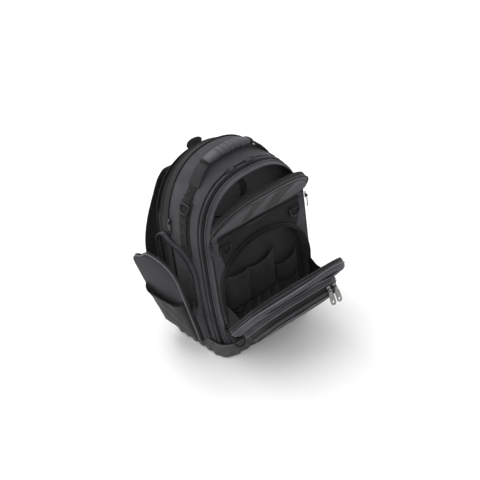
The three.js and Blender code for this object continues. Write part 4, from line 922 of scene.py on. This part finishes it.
# Side pocket's flap: padded panel 10 thick with a zip band round it, then its slip pocket and piping
def makeSide(side, label, drop, opened):
    line = sideLine(-20, corners=(72, 34), height=279) if opened else sideLine(drop)
    centre = np.array([17.5, 160.0])

    # A point on the panel at a distance out from its inner face
    def onPanel(y, z, out):
        base = panelInner + (flapSwing(y, z) if opened else 0 * z)
        return np.stack([side * (base + out), y + 0 * z, z + 0 * y], axis=-1)

    share = np.linspace(0, 1, 16)[:, None]
    turn = share * pi
    inset = 4.5 * (1 - np.sin(turn) ** 0.6)
    y = centre[0] + (line[:, 0] - centre[0]) * (1 - inset / 67)
    z = centre[1] + (line[:, 1] - centre[1]) * (1 - inset / 128)
    rim = onPanel(y, z, 5 - 5 * np.cos(turn))
    # The edge mark lightens the middle of the rim's roll: partly wear, partly painted highlight
    makeSurface("side_rim_" + label, rim, slate, away=onPanel(17.5, 160.0, 5.0), thick=1.6,
                marks={"edge": np.exp(-((share - 0.5) / 0.2) ** 2) * 0.6 + 0 * y})
    makeTube("side_zip_coil_" + label, onPanel(line[:, 0], line[:, 1], 3.4), 1.6, 1.4, piping, sides=8,
             across=(1, 0, 0))
    makeTube("side_piping_" + label, rim[13], 1.5, 1.5, paleCord if opened else piping, sides=10,
             across=(1, 0, 0))
    edge = np.stack([y[-1], z[-1]], axis=-1)
    half = len(edge) // 2
    first, second = edge[:half + 1], edge[::-1][:half + 1]
    t = np.linspace(0, 1, 30)[:, None, None]
    face = first[None] * (1 - t) + second[None] * t
    mid = np.sin(pi * t[..., 0]) ** 0.6
    flatPoints = np.stack([face[..., 0], face[..., 0] * 0, face[..., 1]], axis=-1)
    crown = (1.6 + ripple(flatPoints, 90, 1.0, side + 2.0)) * mid
    outer = onPanel(face[..., 0], face[..., 1], 10 + crown)
    inner = onPanel(face[..., 0], face[..., 1], 0.2 - 0.6 * mid)
    closed = np.concatenate([outer, inner[:, ::-1]], axis=1)
    piece = makeSurface("side_panel_" + label, closed, smooth, wrap=True, nodes=["side_flap_" + label],
                        slot="charcoal_cloth", away=onPanel(17.5, 160.0, 5.0))
    weld(piece)
    makeSlip(side, label, opened, onPanel)
    makeLip(side, label, sideLine(drop, corners=(68, 34)) if opened else line, opened)


# Slip pocket on the side panel: out = 11.4 + (5 + 10·level)·swell plus folds, its mouth sagging by 14·swell
def makeSlip(side, label, opened, onPanel):
    share = np.linspace(0, 1, 34)[None]
    level = np.linspace(0, 1, 30)[:, None]
    swell = (1 - np.abs(2 * share - 1) ** 4) ** 0.5
    mouth = 174.6 if opened else 197.6
    y = -43 + 121 * share + 0 * level
    z = 51 + (mouth - 51 + 9 * (share - 0.5) * level - 14 * swell * level) * level
    depth = (5 + 10 * level) * swell * (0.2 + 0.8 * smoothStep(0, 0.1, level))
    flatPoints = np.stack([y, y * 0, z], axis=-1)
    folds = ripple(flatPoints, 44, 1.6, 3.0 + side)
    folds = folds + 1.4 * np.sin((z + 0.5 * y) / 15) * np.exp(-((z - 130) / 40) ** 2)
    points = onPanel(y, z, 11.4 + depth + folds * swell * smoothStep(0, 0.2, level))
    # The edge mark lightens the mouth: partly wear, partly painted light
    piece = makeSurface("side_slip_cloth_" + label, points, slate, nodes=["side_slip_pocket_" + label],
                        slot="black_cloth", away=(side * 100, 17, 120), thick=1.3,
                        marks={"edge": smoothStep(0.95, 1, level) * 0.7 + 0 * share})
    makeTube("side_slip_binding_" + label, points[-1], 1.3, 2.4, piping, sides=10, across=(1, 0, 0))


# The pocket's side wall: a lip from the body's skin out to the panel where it is closed, and a short one
# where it is open
def makeLip(side, label, line, opened):
    rows = 14
    share = np.linspace(0, 1, rows)[:, None]
    y, z = line[:, 0], line[:, 1]
    half = np.interp(y, sectionY, sectionHalf) * packHalf
    foot = np.interp(y, sectionY, sectionFoot) * packHalf
    body = foot + (half - foot) * spread(z) + 1.5
    swing = flapSwing(y, z) if opened else 0 * z
    held = smoothStep(150, 128, z) if opened else np.ones_like(z)
    outer = np.where(held > 0, held * (157.7 + swing) + (1 - held) * (body + 14), body + 14)
    x = body + (outer - body) * share
    bulge = 2.0 * np.sin(pi * share)
    points = np.stack([side * x, y + np.where(y < 17, -1, 1) * bulge, z + 0 * share], axis=-1)
    tone = charcoal if opened else slate
    # The edge mark lightens the outer edge: partly wear, partly painted light
    makeSurface("side_wall_" + label, points, tone, away=(side * 150, 17.5, 160), thick=1.8,
                nodes=["side_gusset_" + label], slot="charcoal_cloth",
                marks={"edge": smoothStep(0.8, 1, share) + 0 * y, "dark": (share < 0.16) * 1.0 + 0 * y})
    makeTube("side_wall_binding_" + label, points[-1], 1.6, 1.6, piping, sides=10, across=(1, 0, 0))
    if opened:
        back = np.stack([side * (body + 0.8), y, z], axis=-1)
        half = len(back) // 2
        t = np.linspace(0, 1, 20)[:, None, None]
        panel = back[:half + 1][None] * (1 - t) + back[::-1][:half + 1][None] * t
        makeSurface("side_pocket_lining_" + label, panel, black, away=(0, 17, 160), thick=0.8)


makeSide(-1, "left", 14, True)
makeSide(1, "right", 0, False)
print("side pockets made")


# Moulded base: rounded rectangle swept up a profile, with lugs as soft steps of 3 mm along its lower wall
def makeBase():
    count, corner, lugProud = 640, 35, 3.0
    corners = [(106, 70, 0), (-106, 70, 0.5), (-106, -70, 1.0), (106, -70, 1.5)]
    pieces = []
    for i, (cx, cy, start) in enumerate(corners):
        angle = (start + np.linspace(0, 0.5, 24)) * pi
        pieces.append(np.stack([cx + corner * np.cos(angle), cy + corner * np.sin(angle)], axis=-1))
    ring = np.concatenate(pieces)
    ring = np.concatenate([ring, ring[:1]])
    length = np.concatenate([[0], np.cumsum(np.linalg.norm(np.diff(ring, axis=0), axis=1))])
    even = np.linspace(0, length[-1], count, endpoint=False)
    ring = np.stack([np.interp(even, length, ring[:, i]) for i in range(2)], axis=1)
    normal = unit(np.roll(ring, -1, axis=0) - np.roll(ring, 1, axis=0))
    normal = np.stack([normal[:, 1], -normal[:, 0]], axis=1)
    profile = np.array([(-40, 0.5), (-12, 0.3), (-6, 0.2), (-3, 0.8), (-1, 2.2), (0, 4), (0.2, 6), (0.2, 9),
                        (0.2, 12), (0.2, 14.5), (0.2, 17), (0.3, 19), (0.3, 21), (0.2, 25), (0.1, 30),
                        (0.0, 33), (1.2, 34), (1.8, 35.2), (1.4, 37), (0.2, 38), (-1.6, 38), (-3.2, 37),
                        (-3.5, 34), (-3.6, 20), (-4, 6), (-8, 4.2), (-60, 3.8)])
    pitch = 26.5
    run = np.minimum(np.abs((ring[:, 0] + 132.5) % pitch - pitch / 2), 99)
    runY = np.minimum(np.abs((ring[:, 1] + 92.75) % pitch - pitch / 2), 99)
    flatSide = np.abs(normal[:, 1]) > 0.7
    distance = np.where(flatSide, run, runY)
    lug = smoothStep(7.5, 5.0, pitch / 2 - distance)
    up = smoothStep(1.5, 3.5, profile[:, 1]) * smoothStep(18.5, 15.5, profile[:, 1]) * (profile[:, 0] > -2)
    step = lugProud * lug[None] * up[:, None]
    out = profile[:, 0][:, None] + step
    xy = ring[None] + normal[None] * out[..., None]
    z = np.broadcast_to(profile[:, 1][:, None], xy.shape[:2])
    lip = np.isin(np.arange(len(profile)), [16, 17, 18])
    # Lugs and lip lighter: partly wear, partly painted highlight on the raised parts
    edge = np.clip(step / lugProud, 0, 1) * 0.35 + lip[:, None] * 0.8
    points = np.concatenate([xy, z[..., None]], axis=-1)
    closing = [np.concatenate([ring * 0.02, np.full((count, 1), h)], axis=1) for h in (0.6, 3.8)]
    points = np.concatenate([closing[0][None], points, closing[1][None]])
    edge = np.concatenate([edge[:1], edge, edge[-1:]])
    makeSurface("base_shell", points, baseRubber, wrap=True, away=(0, 0, 18), nodes=["base_tub"],
                slot="base_rubber", marks={"edge": edge})
    rivets = [(-141.2, -58, -1, 0), (-124, -98.5, -0.6, -0.8), (-106, -105.2, 0, -1), (106, -105.2, 0, -1),
              (141.2, -58, 1, 0)]
    radii = [3.2, 3.2, 3.1, 2.8, 2.2, 1.0]
    for i, (x, y, outX, outY) in enumerate(rivets):
        path = np.array([x, y, 29.0]) + np.array([outX, outY, 0]) * np.linspace(-1.5, 1.6, 6)[:, None]
        makeTube("base_rivet_%d" % i, path, radii, radii, blackMetal, across=(0, 0, 1), sides=16)


makeBase()
print("base made")


# A point on the arch at depth y: angle share·90 degrees from the side, moved outward by offset
def archPoint(y, share, offset, side=1):
    half = np.interp(y, sectionY, sectionHalf) * packHalf + offset
    top = np.interp(y, sectionY, sectionTop) * archTop + offset
    power = np.interp(y, sectionY, sectionPower)
    angle = np.asarray(share) * pi / 2
    return np.stack([side * half * np.cos(angle) ** (2 / power), np.full(np.shape(share), float(y)),
                     shoulderTop + (top - shoulderTop) * np.sin(angle) ** (2 / power)], axis=-1)


# Carry handle: webbing through a moulded grip whose middle carries five soft rings
def makeHandle():
    peak = np.interp(-22, sectionY, sectionTop) * archTop + 16
    legs = archPoint(-22, [0.43, 0.48, 0.53], 2.3)
    right = np.concatenate([legs, [(84, -22, peak - 26), (62, -22, peak - 9), (31, -22, peak - 2)]])
    path = throughPoints(np.concatenate([right * [-1, 1, 1], [(0, -22, peak)], right[::-1]]), 160)
    makeTube("handle_webbing", path, 13.5, 1.3, strapWeb, across=(0, 1, 0), sides=20, power=4,
             nodes=["handle_strap"], slot="webbing")
    x = path[:, 0]
    grip = throughPoints(path[np.abs(x) <= 63], 220)
    s = np.linspace(-1, 1, len(grip))
    taper = (1 - np.abs(s) ** 7) * 0.22 + 0.78
    ribs = np.zeros_like(s)
    for at in (-0.42, -0.2, 0.02, 0.24, 0.46):
        ribs += np.exp(-((s - at) / 0.018) ** 2)
    wide = 15.6 * taper - 2.0 * ribs
    deep = 9.3 * taper * (1 - 0.2 * np.abs(s) ** 2) - 2.0 * ribs
    # Lighter everywhere but in the five ring grooves: partly wear, partly painted shade in the grooves
    mark = np.repeat((1 - ribs)[:, None] * 0.4, 28, axis=1)
    padded = np.concatenate([mark[:1], mark[:1], mark, mark[-1:], mark[-1:]])
    makeTube("grip_moulding", grip, wide, deep, gripRubber, across=(0, 1, 0), sides=28, power=2.8,
             nodes=["handle_grip"], slot="grip_rubber", marks={"edge": padded})
    for side, label in ((-1, "left"), (1, "right")):
        leg = path[(x * side > 58) & (x * side < 104)]
        leg = leg if side < 0 else leg[::-1]
        leg = throughPoints(leg, 40)
        u = np.linspace(0, 1, 40)
        makeTube("handle_sleeve_" + label, leg, 19.0 - 4.6 * u ** 1.5, 2.2 + 1.0 * u, slate,
                 across=(0, 1, 0), sides=22, power=3.4)
        ring = throughPoints(path[(x * side > 60) & (x * side < 66)], 12)
        makeTube("handle_binding_" + label, ring, 14.6, 7.6, piping, across=(0, 1, 0), sides=24, power=2.8)
        rivetAt = archPoint(-22, 0.49, 4.6, side)
        out = unit(np.array([side * 0.66, 0, 0.75]))
        steps = np.linspace(-1.6, 1.6, 6)[:, None]
        radii = [3.6, 3.6, 3.5, 3.1, 2.4, 1.1]
        makeTube("handle_rivet_" + label, rivetAt + out * steps, radii, radii, blackMetal, across=(0, 1, 0),
                 sides=18)
        bar = archPoint(-22, 0.43, 3.4, side) + np.array([0, 1, 0]) * np.linspace(-14.5, 14.5, 16)[:, None]
        makeTube("handle_end_bar_" + label, bar, 3.2, 1.6, piping, across=(side * 0.7, 0, -0.7), sides=10)


# Daisy chain down each side: a base strip on the skin and a second strip looped between bar tacks
def makeSideWebbing():
    for side, label in ((-1, "left"), (1, "right")):
        share = np.linspace(0.40, 0.0, 60)
        low = np.linspace(289, 268, 6)
        strip = np.concatenate([archPoint(-22, share, 2.4, side),
                                np.stack([np.full(6, side * 150.0), np.full(6, -22.0), low], axis=-1)])
        makeTube("side_strip_" + label, throughPoints(strip, 90), 19, 1.1, strapWeb, across=(0, 1, 0),
                 sides=20, power=4, nodes=["side_webbing_" + label], slot="webbing")
        upper = archPoint(-22, np.linspace(0.34, 0.01, 120), 3.6, side)
        s = np.linspace(0, 4, 120)
        lift = 3.2 * np.abs(np.sin(pi * s)) ** 0.7
        out = unit((upper - [0, -22, 240]) * [1, 0, 1])
        makeTube("side_daisy_" + label, upper + out * lift[:, None], 12.5, 1.0, strapWeb, across=(0, 1, 0),
                 sides=18, power=4)
        for i in range(5):
            stop = min(i * 30, 119)
            at = upper[stop] + out[stop] * 1.4
            tack = at + np.array([0, 1, 0]) * np.linspace(-11.5, 11.5, 12)[:, None]
            makeTube("side_tack_%s_%d" % (label, i), tack, 1.5, 0.7, piping, sides=8,
                     across=np.cross(out[stop], (0, 1, 0)))
        hold = archPoint(-22, np.linspace(0.44, 0.33, 24), 3.8, side)
        makeTube("side_ring_patch_" + label, hold, 11, 1.4, strapWeb, across=(0, 1, 0), sides=18, power=4)


makeHandle()
makeSideWebbing()
print("handle and webbing made")


# Shoulder straps: a padded band along its route, half width 32·(0.82 + 0.18·sin(pi·s)), thick in the middle,
# with thin bound edges. Routes are shares of the half width, mm behind the body, and shares of the height.
def makeStraps():
    route = np.array([(0.34, 0.3, 0.855), (0.34, 10, 0.855), (0.36, 23, 0.85), (0.43, 34, 0.81),
                      (0.53, 46, 0.71), (0.63, 64, 0.57), (0.69, 77, 0.44), (0.72, 80, 0.32)])
    tail = np.array([(0.755, 64, 0.215), (0.76, 30, 0.155), (0.73, 13, 0.14), (0.7, 4.6, 0.124),
                     (0.7, 1.9, 0.108), (0.7, 1.4, 0.093)])
    for side, label in ((-1, "left"), (1, "right")):
        scale = np.array([side * packHalf, 1, archTop])
        path = throughPoints(route * scale + [0, 97, 0], 120)
        s = np.linspace(0, 1, 120)
        across = np.tile([1.0, 0, 0], (120, 1))
        wide = 32 * (0.82 + 0.18 * np.sin(pi * s)) * (1 - 0.25 * smoothStep(0.9, 1, s))
        deep = 6.3 * (0.62 + 0.38 * np.sin(pi * np.clip(s * 1.05, 0, 1)) ** 0.5)
        piece = makeTube("shoulder_pad_" + label, path, wide, deep, meshPad, across=across, sides=30,
                         power=2.6, nodes=["shoulder_strap_" + label], slot="padded_mesh")
        tangent = unit(np.gradient(path, axis=0))
        normal = np.cross(tangent, across)
        for edge in (-1, 1):
            line = path + across * (wide * edge)[:, None] * 0.985
            place = "in" if edge * side < 0 else "out"
            makeTube("shoulder_binding_%s_%s" % (label, place), line, 1.9, 1.9, piping, across=normal, sides=10)
        outward = 1 if normal[60, 1] > 0 else -1
        top = path[20:112] + normal[20:112] * (deep[20:112] + 0.9)[:, None] * outward
        makeTube("shoulder_webbing_" + label, top, 12.5, 1.1, strapWeb, across=(1, 0, 0), sides=18, power=4)
        start = path[-1] + tangent[-1] * 4
        web = throughPoints(np.concatenate([[start], tail * scale + [0, 97, 0]]), 110)
        makeTube("strap_web_" + label, web, 12.5, 1.1, strapWeb, across=(1, 0, 0), sides=18, power=4,
                 nodes=["strap_webbing_" + label], slot="webbing")
        buckle(path[-1] + tangent[-1] * 5, tangent[-1], label)
        chest = path[56] + normal[56] * 9 * outward
        clip = chest + across[56] * np.linspace(-17, 17, 12)[:, None]
        makeTube("chest_slider_" + label, clip, 4.2, 2.2, blackMetal, across=tangent[56], sides=14, power=3.5)


# Ladder buckle at the strap's end: two rails and three bars round the webbing
def buckle(spot, along, label):
    across = np.array([1.0, 0, 0])
    up = np.cross(along, across)
    for i, at in enumerate((-9, 0, 9)):
        line = spot + along * at + up * (1.8 if at else 3.2) + across * np.linspace(-16, 16, 10)[:, None]
        makeTube("buckle_bar_%s_%d" % (label, i), line, 2.6, 1.8, blackMetal, across=along, sides=12,
                 power=2.6)
    for i, at in enumerate((-16, 16)):
        line = spot + across * at + along * np.linspace(-11.5, 11.5, 12)[:, None] + up * 1.6
        makeTube("buckle_rail_%s_%d" % (label, i), line, 2.0, 3.4, blackMetal, across=across, sides=12,
                 power=2.6)


makeStraps()
print("straps made")


# D-rings: wire of 2 mm radius along a straight bar and a half round, on their own bodies and hinges
def makeRings():
    hinges = {j["child"]: j for j in frame["joints"]}
    for name in [n for n in frame["nodes"] if n.startswith("ring_") and not n.startswith("ring_loop")]:
        low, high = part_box(name)
        low, high = np.array(low) * 1000, np.array(high) * 1000
        joint = hinges[name]
        pivot = np.array(joint["pos_m"]) * 1000
        axis = unit(np.array(joint["axis"], float))
        middle = (low + high) / 2 - pivot
        down = unit(middle - (middle @ axis) * axis)
        turn = np.linspace(0, pi, 30)
        halfWide = 15.0
        bowed = [pivot + axis * halfWide * np.cos(a) + down * (8.5 + 13.5 * math.sin(a)) for a in turn]
        bar = [pivot + axis * x for x in np.linspace(-halfWide, halfWide, 10)]
        corner = [pivot + axis * x * halfWide + down * d for x, d in ((-1, 2.0), (-1, 5.5))]
        end = [pivot + axis * x * halfWide + down * d for x, d in ((1, 5.5), (1, 2.0))]
        line = np.array(bowed + corner[::-1] + bar[1:-1] + end[::-1])
        makeTube(name + "_wire", evenLoop(line, 110), 2.0, 2.0, blackMetal, across=np.cross(axis, down),
                 sides=12, closed=True, body=name, nodes=[name], slot="black_metal")


# Even steps round a closed line of points
def evenLoop(line, count):
    line = np.concatenate([line, line[:1]])
    length = np.concatenate([[0], np.cumsum(np.linalg.norm(np.diff(line, axis=0), axis=1))])
    even = np.linspace(0, length[-1], count, endpoint=False)
    return np.stack([np.interp(even, length, line[:, i]) for i in range(3)], axis=1)


makeRings()


# CAD hardware kept as it is, with softened edges and its own material; webbing loops get webbing
def dressHardware():
    for name, piece in frame["nodes"].items():
        bright = "outer_" in name
        if name.startswith(("pull_", "slider_")):
            piece.data.materials.clear()
            piece.data.materials.append(nickel if bright else blackMetal)
            soften = piece.modifiers.new("edges", "BEVEL")
            soften.width, soften.segments, soften.angle_limit = 0.00035, 2, math.radians(35)
        elif name.startswith("ring_loop"):
            piece.data.materials.clear()
            piece.data.materials.append(strapWeb)
            soften = piece.modifiers.new("edges", "BEVEL")
            soften.width, soften.segments, soften.angle_limit = 0.0006, 3, math.radians(35)


dressHardware()
print("hardware made")
